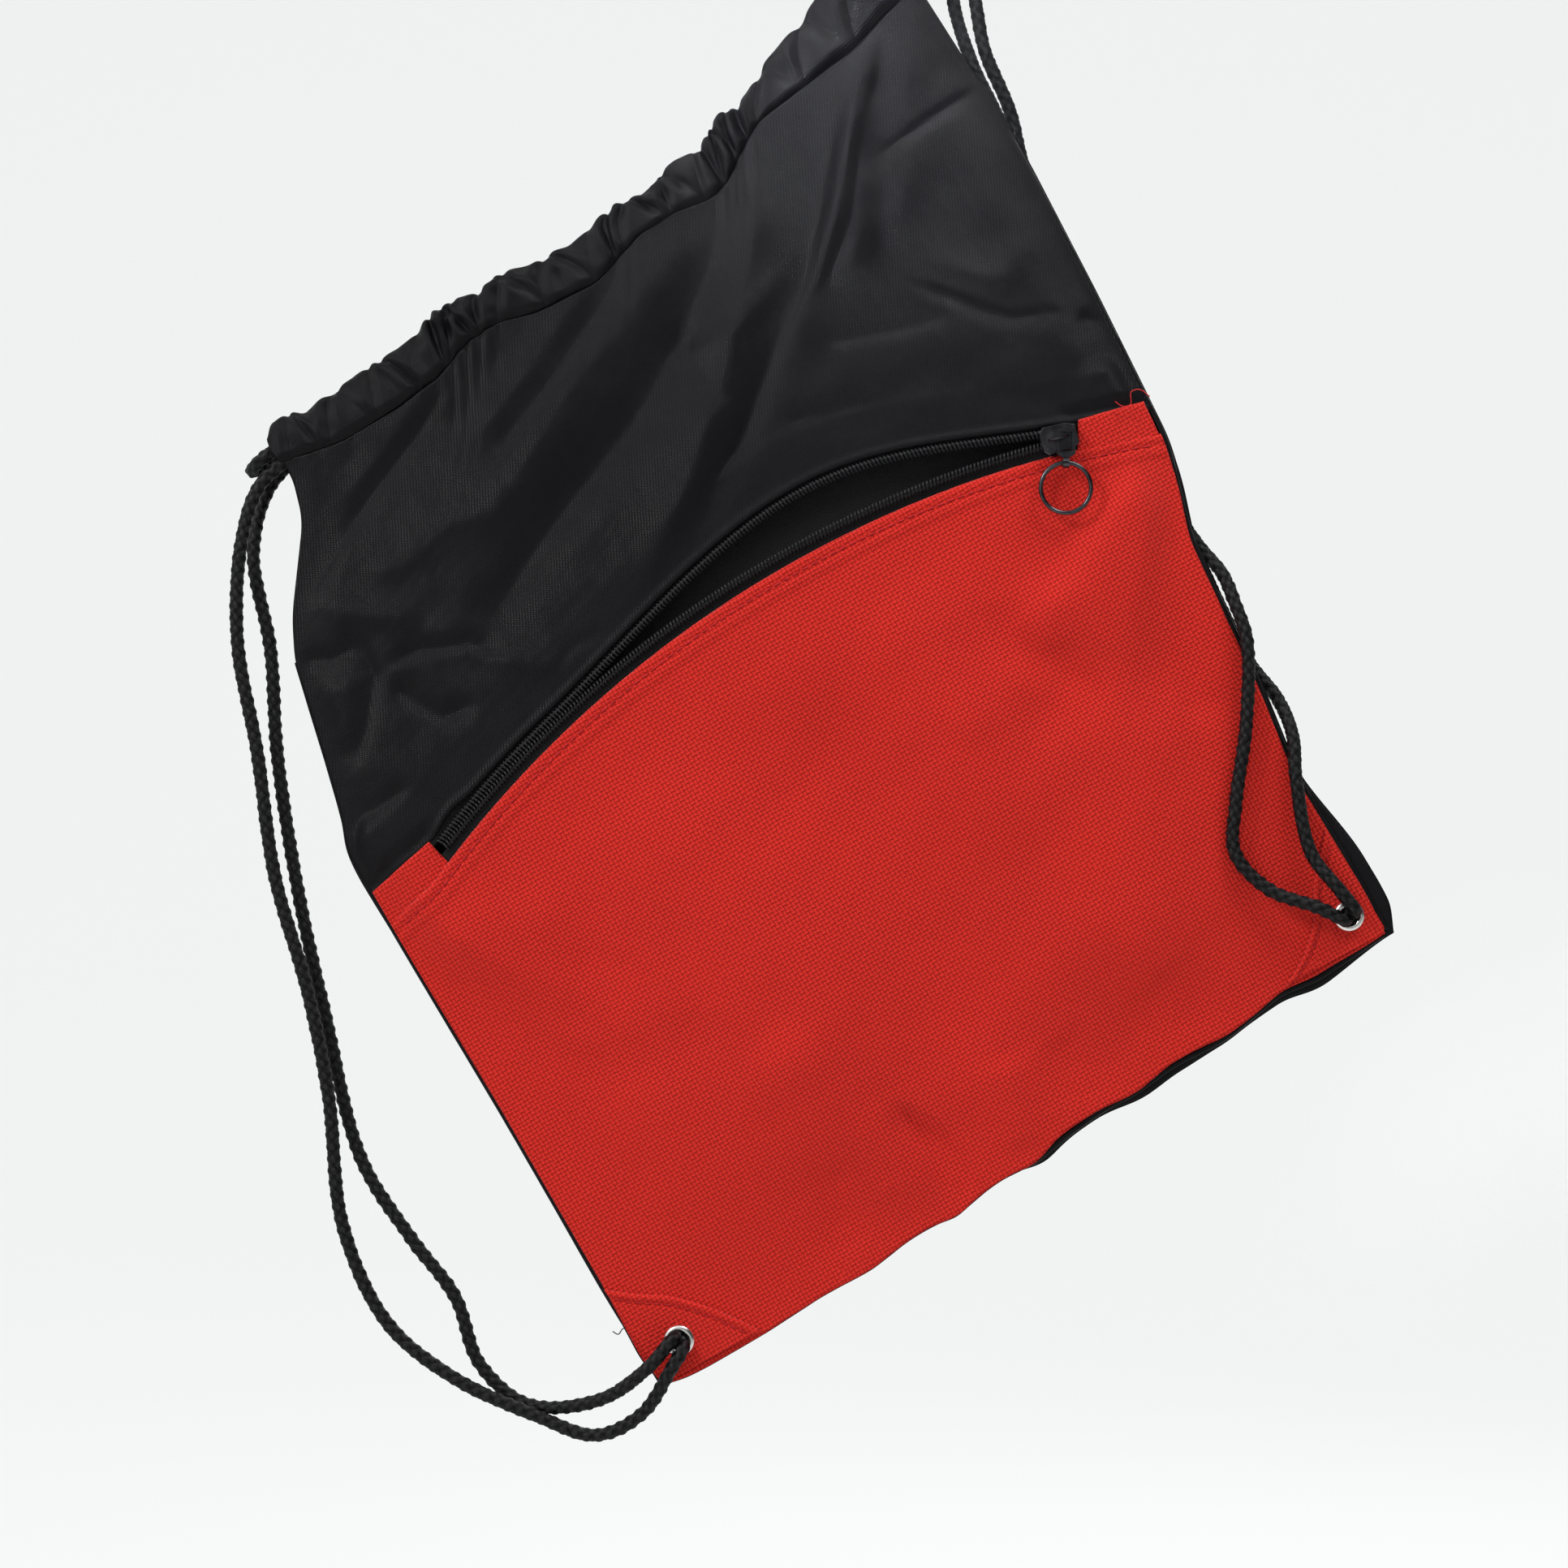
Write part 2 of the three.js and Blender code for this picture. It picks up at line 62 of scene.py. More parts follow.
# ---------------------------------------------------------------- layout
# The bag's own flat layout is (a, b, d) in millimetres: a across, b up, d out of the front.
TILT = math.radians(30)
CT, ST = math.cos(TILT), math.sin(TILT)
low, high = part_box("eyelet_left")
eye_x, eye_z = (low[0] + high[0]) / 2, (low[2] + high[2]) / 2
EYE_LEFT, EYE_RIGHT = (14.5, 11.4), (319.1, 24.0)
X0 = eye_x * 1000 - EYE_LEFT[0] * CT + EYE_LEFT[1] * ST
Z0 = eye_z * 1000 - EYE_LEFT[0] * ST - EYE_LEFT[1] * CT
ZIP_A, ZIP_B, ZIP_R = 197.0, -183.0, 437.3
POCKET_R = 431.5


def world(a, b, d):
    """Bag layout in millimetres to the row frame in metres."""
    a, b, d = (np.asarray(v, float) for v in (a, b, d))
    return np.stack([X0 + a * CT - b * ST, -d + 0 * a, Z0 + a * ST + b * CT], -1) / 1000


def smooth(x, lo, hi):
    """0 below lo, 1 above hi, and a soft step between them."""
    t = np.clip((np.asarray(x, float) - lo) / (hi - lo), 0, 1)
    return t * t * (3 - 2 * t)


def line(rows, x):
    """Straight lines through (x, y) rows."""
    xs, ys = zip(*rows)
    return np.interp(x, xs, ys)


def softline(rows, x, width=2.0):
    """A line through rows with its corners rounded over a width in millimetres."""
    x = np.asarray(x, float)
    return sum(line(rows, x + k * width) for k in (-1.5, -0.75, 0, 0.75, 1.5)) / 5


# Outline of the bag laid flat: side edges as (b, a), the other lines as (a, b)
LEFT = [(-4, 0), (11, -3), (43, -2), (122, -2), (191, -3), (238, -3), (250, 2), (283, 10),
        (311, 16), (327, 24), (357, 46), (374, 51), (381, 50), (400, 52)]
RIGHT = [(7, 329.5), (27, 331), (82, 330), (118, 335), (180, 340.5), (200, 347), (218, 351),
         (242, 352.6), (280, 355), (335, 357.5), (369, 357.5), (418, 355)]
BOTTOM = [(-3, 0), (10, -3), (21, -3.4), (45, -3.3), (72, -1.9), (92, -2.7), (110, 0), (122, 0.2),
          (131, -1.6), (142, 1.2), (155, 2.4), (168, 1), (182, 3.8), (200, 5.5), (215, 4.6),
          (230, 6.6), (255, 5.6), (282, 10), (296, 7.6), (330, 10)]
STITCH = [(50, 380), (60, 377), (75, 374.2), (100, 374.5), (120, 377), (135, 383), (150, 384),
          (165, 379.5), (190, 378), (205, 383), (215, 386), (232, 386.5), (245, 384), (253, 386),
          (264, 394), (275, 400.5), (300, 403.5), (320, 406), (335, 411), (357, 417)]
TOP = [(50, 390), (54, 395), (63, 395.8), (68, 392), (75, 393.6), (100, 394), (110, 395.5),
       (121, 397.5), (128, 401), (140, 401.3), (150, 399), (157, 401.4), (165, 400.5), (172, 398),
       (180, 398.2), (188, 397), (196, 398.6), (205, 401), (215, 401.8), (224, 399.6), (232, 403.6),
       (240, 405.2), (250, 404), (256, 408), (264, 412.4), (270, 411), (277, 414), (288, 420),
       (300, 424.5), (309, 427.5), (318, 432), (330, 433.2), (340, 436), (357, 437)]
CASING_MID = [(51, 383), (92, 388.5), (140, 390), (190, 389), (236, 395.5), (267, 402),
              (312, 417), (357, 427)]


def arc(a, radius):
    """Height b of a circle about the centre of the arched zip."""
    return ZIP_B + np.sqrt(radius ** 2 - (np.asarray(a, float) - ZIP_A) ** 2)


def gape(angle):
    """How far the zip's upper edge stands off its arc, 0 to 1, by the angle along the zip."""
    angle = np.asarray(angle, float)
    return np.where(angle < 3.5, smooth(angle, -14, 3.5), 1 - smooth(angle, 3.5, 18))


def angle_at(a):
    return np.degrees(np.arcsin((np.asarray(a, float) - ZIP_A) / 440))


# ---------------------------------------------------------------- camera and world
scene = bpy.context.scene
camera = bpy.data.objects.new("camera", bpy.data.cameras.new("camera"))
scene.collection.objects.link(camera)
camera.data.lens = 85
camera.data.sensor_width = 36
camera.data.clip_end = 20
view_x, view_z, view_width = -0.0622, -0.3253, 0.6037
camera.location = (view_x, -view_width * 85 / 36, view_z)
camera.rotation_euler = (math.pi / 2, 0, 0)
scene.camera = camera
scene.view_settings.view_transform = "Standard"
scene.view_settings.look = "None"
scene.world = scene.world or bpy.data.worlds.new("studio")
scene.world.use_nodes = True


def sky(towards, dim, bright, strength):
    """A room lit from one side: brightest towards a direction, dimmest away from it."""
    tree = scene.world.node_tree
    place = tree.nodes.new("ShaderNodeTexCoord")
    dot = tree.nodes.new("ShaderNodeVectorMath")
    dot.operation = "DOT_PRODUCT"
    dot.inputs[1].default_value = Vector(towards).normalized()
    tree.links.new(place.outputs["Generated"], dot.inputs[0])
    blend = tree.nodes.new("ShaderNodeValToRGB")
    blend.color_ramp.interpolation = "EASE"
    blend.color_ramp.elements[0].position = 0.30
    blend.color_ramp.elements[0].color = (*dim, 1)
    blend.color_ramp.elements[1].position = 1.0
    blend.color_ramp.elements[1].color = (*bright, 1)
    tree.links.new(dot.outputs["Value"], blend.inputs[0])
    tree.links.new(blend.outputs[0], tree.nodes["Background"].inputs["Color"])
    tree.nodes["Background"].inputs["Strength"].default_value = strength


sky((-0.50, -0.42, 0.76), (0.10, 0.103, 0.107), (1.6, 1.6, 1.6), 0.62)


def area_light(name, where, aim, size, power, colour=(1, 1, 1), spread=180):
    data = bpy.data.lights.new(name, "AREA")
    data.spread = math.radians(spread)
    data.shape = "RECTANGLE"
    data.size, data.size_y = size
    data.energy = power
    data.color = colour
    lamp = bpy.data.objects.new(name, data)
    scene.collection.objects.link(lamp)
    lamp.location = where
    lamp.rotation_euler = (Vector(aim) - Vector(where)).to_track_quat("-Z", "Y").to_euler()


MID = (-0.05, 0, -0.3)
area_light("key_upper_left", (-1.0, -0.75, 0.62), MID, (0.4, 0.4), 10)
area_light("top_soft", (0.55, -0.45, 0.9), MID, (0.5, 0.5), 10)
area_light("back_soft", (0.5, 1.7, 0.5), MID, (1.2, 1.2), 12)
area_light("satin_shine", (-0.50, -1.42, 0.32), (-0.045, 0, -0.045), (0.12, 0.12), 0.17,
           (0.88, 0.93, 1.0), 9)


# ---------------------------------------------------------------- materials
def material(name, base, rough, metal=0.0):
    m = bpy.data.materials.new(name)
    m.use_nodes = True
    p = m.node_tree.nodes["Principled BSDF"]
    p.inputs["Base Color"].default_value = (*base, 1)
    p.inputs["Roughness"].default_value = rough
    p.inputs["Metallic"].default_value = metal
    return m, m.node_tree, p


def add(tree, kind, **values):
    """A new shader node with its settings."""
    node = tree.nodes.new(kind)
    for key, value in values.items():
        setattr(node, key, value)
    return node


def calc(tree, operation, *inputs):
    """A maths node fed with numbers or sockets."""
    node = add(tree, "ShaderNodeMath", operation=operation)
    for i, value in enumerate(inputs):
        if isinstance(value, (int, float)):
            node.inputs[i].default_value = value
        else:
            tree.links.new(value, node.inputs[i])
    return node.outputs[0]


def ramp(tree, factor, stops):
    node = add(tree, "ShaderNodeValToRGB")
    while len(node.color_ramp.elements) < len(stops):
        node.color_ramp.elements.new(0.5)
    for element, (at, colour) in zip(node.color_ramp.elements, stops):
        element.position = at
        element.color = (*colour, 1)
    tree.links.new(factor, node.inputs[0])
    return node.outputs[0]


def noise(tree, vector, scale, detail=3.0, rough=0.55):
    node = add(tree, "ShaderNodeTexNoise")
    node.inputs["Scale"].default_value = scale
    node.inputs["Detail"].default_value = detail
    node.inputs["Roughness"].default_value = rough
    tree.links.new(vector, node.inputs["Vector"])
    return node.outputs["Fac"]


def bump(tree, height, strength, distance, normal=None):
    node = add(tree, "ShaderNodeBump")
    node.inputs["Strength"].default_value = strength
    node.inputs["Distance"].default_value = distance
    tree.links.new(height, node.inputs["Height"])
    if normal is not None:
        tree.links.new(normal, node.inputs["Normal"])
    return node.outputs["Normal"]


def woven(name, dark, mid, light, pitch, rough, relief, sheen, fine, twill=0.0, spec=0.5):
    """Cloth whose threads follow the UV layout, which is in millimetres. Its colour carries painted
    shade between the threads and a painted highlight on the thread crowns.
    """
    m, tree, p = material(name, mid, rough)
    uv = add(tree, "ShaderNodeUVMap", uv_map="cut").outputs[0]
    split = add(tree, "ShaderNodeSeparateXYZ")
    tree.links.new(uv, split.inputs[0])
    wobble = noise(tree, uv, 0.12, 2.0)
    warp = calc(tree, "MULTIPLY", wobble, 1.2)
    u = calc(tree, "DIVIDE", calc(tree, "ADD", split.outputs[0], warp), pitch)
    v = calc(tree, "DIVIDE", calc(tree, "ADD", split.outputs[1], warp), pitch)
    if twill:
        u = calc(tree, "ADD", u, calc(tree, "MULTIPLY", v, twill))
    over = calc(tree, "ABSOLUTE", calc(tree, "SINE", calc(tree, "MULTIPLY", u, math.pi)))
    under = calc(tree, "ABSOLUTE", calc(tree, "SINE", calc(tree, "MULTIPLY", v, math.pi)))
    whole = calc(tree, "ADD", calc(tree, "FLOOR", u), calc(tree, "FLOOR", v))
    odd = calc(tree, "MODULO", calc(tree, "ABSOLUTE", whole), 2.0)
    one = calc(tree, "MULTIPLY", over, odd)
    other = calc(tree, "MULTIPLY", under, calc(tree, "SUBTRACT", 1.0, odd))
    threads = calc(tree, "ADD", calc(tree, "ADD", one, other),
                   calc(tree, "MULTIPLY", calc(tree, "MULTIPLY", over, under), 0.4))
    slub = noise(tree, uv, fine, 3.0)
    patch = noise(tree, uv, 0.035, 3.0)
    # Colour: painted shade where the threads dip, painted highlight on the thread crowns, plus random
    # yarn and patch tone
    thread_shade_and_tone = calc(tree, "ADD", calc(tree, "MULTIPLY", threads, 0.50),
                calc(tree, "ADD", calc(tree, "MULTIPLY", slub, 0.38),
                     calc(tree, "MULTIPLY", patch, 0.16)))
    colour = ramp(tree, thread_shade_and_tone, [(0.18, dark), (0.5, mid), (0.85, light)])
    tree.links.new(colour, p.inputs["Base Color"])
    height = calc(tree, "ADD", threads, calc(tree, "MULTIPLY", slub, 0.5))
    tree.links.new(bump(tree, height, relief, 0.0004), p.inputs["Normal"])
    shine = calc(tree, "ADD", calc(tree, "MULTIPLY", patch, 0.16), rough - 0.08)
    tree.links.new(shine, p.inputs["Roughness"])
    p.inputs["Specular IOR Level"].default_value = spec
    p.inputs["Sheen Weight"].default_value = sheen
    p.inputs["Sheen Roughness"].default_value = 0.45
    return m


# Each cloth's dark colour is painted shade between its threads and its light colour a painted highlight
# on their crowns
NYLON = woven("black_nylon_cloth", (0.0020, 0.0018, 0.0022), (0.0034, 0.0031, 0.0038),
              (0.0080, 0.0074, 0.0092), 0.62, 0.34, 0.30, 0.0, 1.3, 0.5, spec=0.12)
RED = woven("red_polyester_cloth", (0.34, 0.0055, 0.0045), (0.50, 0.0105, 0.0075),
            (0.70, 0.028, 0.017), 1.55, 0.80, 0.7, 0.08, 0.9, spec=0.16)
LINING = woven("lining_cloth", (0.004, 0.004, 0.0045), (0.0065, 0.0062, 0.007),
               (0.011, 0.0105, 0.012), 0.9, 0.7, 0.4, 0.0, 1.3, spec=0.2)
TAPE = woven("zip_tape_weave", (0.003, 0.003, 0.0035), (0.006, 0.006, 0.0065),
             (0.014, 0.014, 0.015), 0.9, 0.75, 0.6, 0.0, 1.0, 1.0, spec=0.2)


def thread_material(name, base, light, rough=0.6):
    """Twisted or braided yarn."""
    m, tree, p = material(name, base, rough)
    place = add(tree, "ShaderNodeTexCoord").outputs["Object"]
    grain = noise(tree, place, 900.0, 2.0)
    colour = ramp(tree, grain, [(0.3, base), (0.75, light)])
    tree.links.new(colour, p.inputs["Base Color"])
    tree.links.new(bump(tree, grain, 0.5, 0.0002), p.inputs["Normal"])
    p.inputs["Specular IOR Level"].default_value = 0.18
    return m


CORD = thread_material("black_braid", (0.004, 0.004, 0.0045), (0.015, 0.015, 0.016), 0.55)


def paint_shade_by_height(m, dark, light):
    """Paints shade into a material by the mesh's own height attribute: darker in the low grooves between
    a braid's strands, with a painted highlight on the strand crests.
    """
    tree = m.node_tree
    p = tree.nodes["Principled BSDF"]
    height = add(tree, "ShaderNodeAttribute", attribute_name="height").outputs["Fac"]
    old = p.inputs["Base Color"].links[0].from_socket
    blend = add(tree, "ShaderNodeMix", data_type="RGBA", blend_type="MULTIPLY")
    blend.inputs[0].default_value = 1.0
    tree.links.new(old, blend.inputs[6])
    tree.links.new(ramp(tree, height, [(0.35, dark), (0.95, light)]), blend.inputs[7])
    tree.links.new(blend.outputs[2], p.inputs["Base Color"])


# The braid's colour gets painted shade in the grooves between strands and a painted highlight on the
# crests
paint_shade_by_height(CORD, (0.06, 0.06, 0.06), (1.7, 1.7, 1.75))
THREAD_RED = thread_material("red_thread", (0.36, 0.008, 0.012), (0.62, 0.03, 0.03))
THREAD_BLACK = thread_material("black_thread", (0.006, 0.006, 0.007), (0.02, 0.02, 0.022))
TEETH = thread_material("nylon_teeth", (0.008, 0.008, 0.009), (0.02, 0.02, 0.022), 0.3)


def metal(name, base, rough, wear):
    """Plated metal, cloudy where it has been handled."""
    m, tree, p = material(name, base, rough, 1.0)
    place = add(tree, "ShaderNodeTexCoord").outputs["Object"]
    cloud = noise(tree, place, 260.0, 4.0)
    tree.links.new(ramp(tree, cloud, [(0.35, base), (0.75, wear)]), p.inputs["Base Color"])
    tree.links.new(calc(tree, "ADD", calc(tree, "MULTIPLY", cloud, 0.18), rough - 0.08),
                   p.inputs["Roughness"])
    tree.links.new(bump(tree, cloud, 0.05, 0.00005), p.inputs["Normal"])
    return m


SILVER = metal("bright_nickel", (0.74, 0.73, 0.70), 0.2, (0.86, 0.85, 0.83))
GUNMETAL = metal("gunmetal", (0.050, 0.050, 0.056), 0.24, (0.11, 0.11, 0.12))


# ---------------------------------------------------------------- mesh helpers
def finish_mesh(name, points, faces, mat, body, stands_for=(), uv=None, height=None):
    mesh = bpy.data.meshes.new(name)
    mesh.from_pydata([tuple(p) for p in points], [], [tuple(f) for f in faces])
    mesh.update()
    if uv is not None:
        layer = mesh.uv_layers.new(name="cut")
        corner = np.empty(len(mesh.loops), np.int32)
        mesh.loops.foreach_get("vertex_index", corner)
        layer.data.foreach_set("uv", np.asarray(uv, np.float32)[corner].ravel())
    if height is not None:
        layer = mesh.attributes.new("height", "FLOAT", "POINT")
        layer.data.foreach_set("value", np.asarray(height, np.float32).ravel())
    mesh.polygons.foreach_set("use_smooth", [True] * len(mesh.polygons))
    mesh.materials.append(mat)
    obj = bpy.data.objects.new(name, mesh)
    scene.collection.objects.link(obj)
    if body:
        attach(obj, body)
    if stands_for:
        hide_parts(*stands_for)
    return obj


def grid_faces(rows, columns, close_columns=False):
    """Quads of a grid of points stored row by row; its columns may close into a ring."""
    r = np.arange(rows - 1)[:, None]
    c = np.arange(columns if close_columns else columns - 1)[None, :]
    n = (c + 1) % columns
    quads = np.stack([r * columns + c, r * columns + n, (r + 1) * columns + n,
                      (r + 1) * columns + c + 0 * r], -1).reshape(-1, 4)
    return quads


def cloth(name, a, b, d, thick, mat, body, stands_for=(), uv=None):
    """A closed sheet of cloth: a, b, d are grids, and its back lies thick behind its front."""
    rows, columns = a.shape
    p = world(a, b, d)
    du = np.gradient(p, axis=1)
    dv = np.gradient(p, axis=0)
    n = np.cross(du, dv)
    n /= np.linalg.norm(n, axis=-1, keepdims=True) + 1e-12
    if n[..., 1].mean() > 0:
        n = -n
    back = p - n * (thick / 1000)
    count = rows * columns
    front_faces = grid_faces(rows, columns)
    back_faces = front_faces[:, ::-1] + count
    ring = np.concatenate([np.arange(columns - 1), np.arange(rows - 1) * columns + columns - 1,
                           (rows - 1) * columns + np.arange(columns - 1, 0, -1),
                           np.arange(rows - 1, 0, -1) * columns])
    after = np.roll(ring, -1)
    sides = np.stack([ring, ring + count, after + count, after], -1)
    cut = np.stack([a, b], -1) if uv is None else uv
    cut = cut.reshape(-1, 2)
    obj = finish_mesh(name, np.concatenate([p.reshape(-1, 3), back.reshape(-1, 3)]),
                      np.concatenate([front_faces, back_faces, sides]), mat, body, stands_for,
                      np.concatenate([cut, cut]))
    return obj


def ridge(a, b, points, height, left, right=None, taper=0.25, power=1.6):
    """Height of one fold along a line of (a, b) points. left and right are its half-widths on
    either side, so a narrow side makes a crease. It fades out at both ends."""
    right = left if right is None else right
    pts = np.array(points, float)
    seg = np.diff(pts, axis=0)
    lengths = np.hypot(*seg.T)
    total = lengths.sum()
    best = np.full(a.shape, 1e9)
    side = np.zeros(a.shape)
    along = np.zeros(a.shape)
    passed = 0.0
    for (x, y), (sx, sy), length in zip(pts[:-1], seg, lengths):
        t = np.clip(((a - x) * sx + (b - y) * sy) / length ** 2, 0, 1)
        dx, dy = a - x - t * sx, b - y - t * sy
        dist = np.hypot(dx, dy)
        nearer = dist < best
        best = np.where(nearer, dist, best)
        side = np.where(nearer, sx * dy - sy * dx, side)
        along = np.where(nearer, passed + t * length, along)
        passed += length
    half = np.where(side > 0, left, right)
    s = along / total
    ends = np.clip(np.minimum(s, 1 - s) / taper, 0, 1)
    ends = ends * ends * (3 - 2 * ends)
    return height * ends * np.exp(-((best / half) ** power))


def wander(a, b, scale, seed, octaves=3):
    """Smooth random height from a sum of waves, about -1 to 1."""
    r = np.random.RandomState(seed)
    out = 0 * a
    for k in range(octaves * 5):
        turn = r.uniform(0, math.pi)
        size = scale / (1 + 0.45 * (k // 5)) * r.uniform(0.7, 1.4)
        out = out + np.sin(2 * math.pi * (a * math.cos(turn) + b * math.sin(turn)) / size
                           + r.uniform(0, 6.28)) / (1 + k // 5)
    return out / 4.5


def round_tube(path, radius, sides):
    """Points and faces of a tube along path with domed ends. The radius is one value, one for
    each point of the path, or a grid of one for each point and side."""
    path = np.asarray(path, float)
    tangent = np.gradient(path, axis=0)
    tangent /= np.linalg.norm(tangent, axis=1, keepdims=True)
    normal = np.zeros_like(path)
    first = np.cross(tangent[0], (0.3, 1, 0.2))
    normal[0] = first / np.linalg.norm(first)
    for i in range(1, len(path)):
        n = normal[i - 1] - tangent[i] * np.dot(normal[i - 1], tangent[i])
        normal[i] = n / np.linalg.norm(n)
    other = np.cross(tangent, normal)
    turn = np.arange(sides) * 2 * math.pi / sides
    radius = np.asarray(radius, float)
    if radius.ndim < 2:
        radius = radius.reshape(-1, 1)
    radius = np.broadcast_to(radius, (len(path), sides))
    along_normal = normal[:, None] * np.cos(turn)[None, :, None]
    along_other = other[:, None] * np.sin(turn)[None, :, None]
    points = (path[:, None] + radius[..., None] * (along_normal + along_other)).reshape(-1, 3)
    faces = [tuple(f) for f in grid_faces(len(path), sides, True)[:, ::-1]]
    n = len(points)
    points = np.concatenate([points, [path[0] - tangent[0] * radius[0].mean() * 0.35,
                                      path[-1] + tangent[-1] * radius[-1].mean() * 0.35]])
    last = (len(path) - 1) * sides
    for k in range(sides):
        faces.append((n, k, (k + 1) % sides)[::-1])
        faces.append((n + 1, last + (k + 1) % sides, last + k)[::-1])
    return points, faces


def curve_through(points, spacing):
    """Evenly spaced points on a smooth line through the given points (centripetal)."""
    p = np.array(points, float)
    p = np.concatenate([[2 * p[0] - p[1]], p, [2 * p[-1] - p[-2]]])
    out = []
    for i in range(1, len(p) - 2):
        q = p[i - 1:i + 3]
        t = [0.0]
        for k in range(3):
            t.append(t[-1] + max(np.linalg.norm(q[k + 1] - q[k]), 1e-9) ** 0.5)
        x = np.linspace(t[1], t[2], 24, endpoint=False)[:, None]
        a1 = (t[1] - x) / (t[1] - t[0]) * q[0] + (x - t[0]) / (t[1] - t[0]) * q[1]
        a2 = (t[2] - x) / (t[2] - t[1]) * q[1] + (x - t[1]) / (t[2] - t[1]) * q[2]
        a3 = (t[3] - x) / (t[3] - t[2]) * q[2] + (x - t[2]) / (t[3] - t[2]) * q[3]
        b1 = (t[2] - x) / (t[2] - t[0]) * a1 + (x - t[0]) / (t[2] - t[0]) * a2
        b2 = (t[3] - x) / (t[3] - t[1]) * a2 + (x - t[1]) / (t[3] - t[1]) * a3
        out.append((t[2] - x) / (t[2] - t[1]) * b1 + (x - t[1]) / (t[2] - t[1]) * b2)
    out = np.concatenate(out + [p[-2:-1]])
    gone = np.concatenate([[0], np.cumsum(np.linalg.norm(np.diff(out, axis=0), axis=1))])
    count = max(int(gone[-1] / spacing), 2)
    at = np.linspace(0, gone[-1], count + 1)
    return np.stack([np.interp(at, gone, out[:, k]) for k in range(3)], -1), gone[-1]


# ---------------------------------------------------------------- cords
# The same routes as the CAD cords, in metres
CORD_LEFT = [
    (-0.1006, -0.0071, -0.5409), (-0.105, -0.01, -0.5484), (-0.1166, -0.0065, -0.5666),
    (-0.1344, -0.004, -0.5753), (-0.1578, -0.003, -0.5678), (-0.1891, -0.003, -0.5534),
    (-0.2147, -0.003, -0.5322), (-0.2316, -0.003, -0.4953), (-0.2372, -0.003, -0.4453),
    (-0.2453, -0.003, -0.4047), (-0.2578, -0.003, -0.3609), (-0.2647, -0.003, -0.3125),
    (-0.2722, -0.003, -0.2703), (-0.2709, -0.002, -0.2328), (-0.2647, -0.0005, -0.2116),
    (-0.2553, 0, -0.2016), (-0.2225, 0, -0.1763), (-0.1817, 0, -0.151), (-0.1379, 0, -0.1269),
    (-0.1013, 0, -0.0982), (-0.0777, 0, -0.0771), (-0.0462, 0, -0.0416), (-0.0123, 0, -0.0105),
    (-0.0058, -0.0002, -0.0086), (0.0006, 0.0075, -0.0078), (-0.0058, 0.0152, -0.0086),
    (-0.0123, 0.015, -0.0105), (-0.0462, 0.015, -0.0416), (-0.0777, 0.015, -0.0771),
    (-0.1013, 0.015, -0.0982), (-0.1379, 0.015, -0.1269), (-0.1817, 0.015, -0.151),
    (-0.2225, 0.015, -0.1763), (-0.2553, 0.015, -0.2016), (-0.2634, 0.0145, -0.2122),
    (-0.2678, 0.009, -0.2359), (-0.2606, 0.005, -0.2734), (-0.2578, 0.004, -0.3141),
    (-0.2497, 0.004, -0.3672), (-0.2394, 0.004, -0.4141), (-0.2253, 0.004, -0.4703),
    (-0.2062, 0.004, -0.5006), (-0.1891, 0.004, -0.5234), (-0.1797, 0.004, -0.5491),
    (-0.1609, 0.0015, -0.5644), (-0.1328, -0.0045, -0.5616), (-0.1141, -0.0097, -0.5484),
    (-0.1044, -0.0071, -0.5372),
]
CORD_RIGHT = [
    (0.153, -0.0071, -0.3778), (0.1428, -0.01, -0.3728), (0.1234, -0.0076, -0.3656),
    (0.1106, -0.007, -0.3516), (0.1109, -0.007, -0.3328), (0.115, -0.0065, -0.3016),
    (0.1153, -0.0056, -0.2703), (0.1109, -0.0025, -0.2553), (0.1066, 0.0015, -0.2441),
    (0.0972, 0.005, -0.2322), (0.0734, 0.0053, -0.1938), (0.0491, 0.007, -0.1391),
    (0.0316, 0.0105, -0.0891), (0.025, 0.008, -0.0641), (0.0153, 0.004, -0.0422),
    (0.0116, 0.003, -0.0234), (0.0078, 0.0015, -0.0053), (-0.0009, 0, 0.0016),
    (-0.0084, -0.0003, -0.0017), (-0.0152, 0, -0.0054), (-0.0491, 0, -0.0366),
    (-0.0806, 0, -0.0721), (-0.1042, 0, -0.0932), (-0.1408, 0, -0.1219), (-0.1846, 0, -0.146),
    (-0.2254, 0, -0.1713), (-0.2582, 0, -0.1966), (-0.2634, -0.0002, -0.2004),
    (-0.2681, 0.0075, -0.2043), (-0.2634, 0.0152, -0.2004), (-0.2582, 0.015, -0.1966),
    (-0.2254, 0.015, -0.1713), (-0.1846, 0.015, -0.146), (-0.1408, 0.015, -0.1219),
    (-0.1042, 0.015, -0.0932), (-0.0806, 0.015, -0.0721), (-0.0491, 0.015, -0.0366),
    (-0.0152, 0.015, -0.0054), (-0.0084, 0.016, -0.002), (-0.0022, 0.0176, -0.0003),
    (0.0028, 0.018, -0.0062), (0.0041, 0.018, -0.0219), (0.0109, 0.017, -0.0441),
    (0.0247, 0.017, -0.0734), (0.0422, 0.015, -0.1234), (0.0734, 0.012, -0.1859),
    (0.0997, 0.0105, -0.2409), (0.1172, 0.008, -0.2772), (0.1281, 0.0032, -0.2922),
    (0.1331, -0.003, -0.3062), (0.1341, -0.0063, -0.3234), (0.1397, -0.007, -0.3516),
    (0.15, -0.01, -0.3656), (0.157, -0.0071, -0.3741),
]


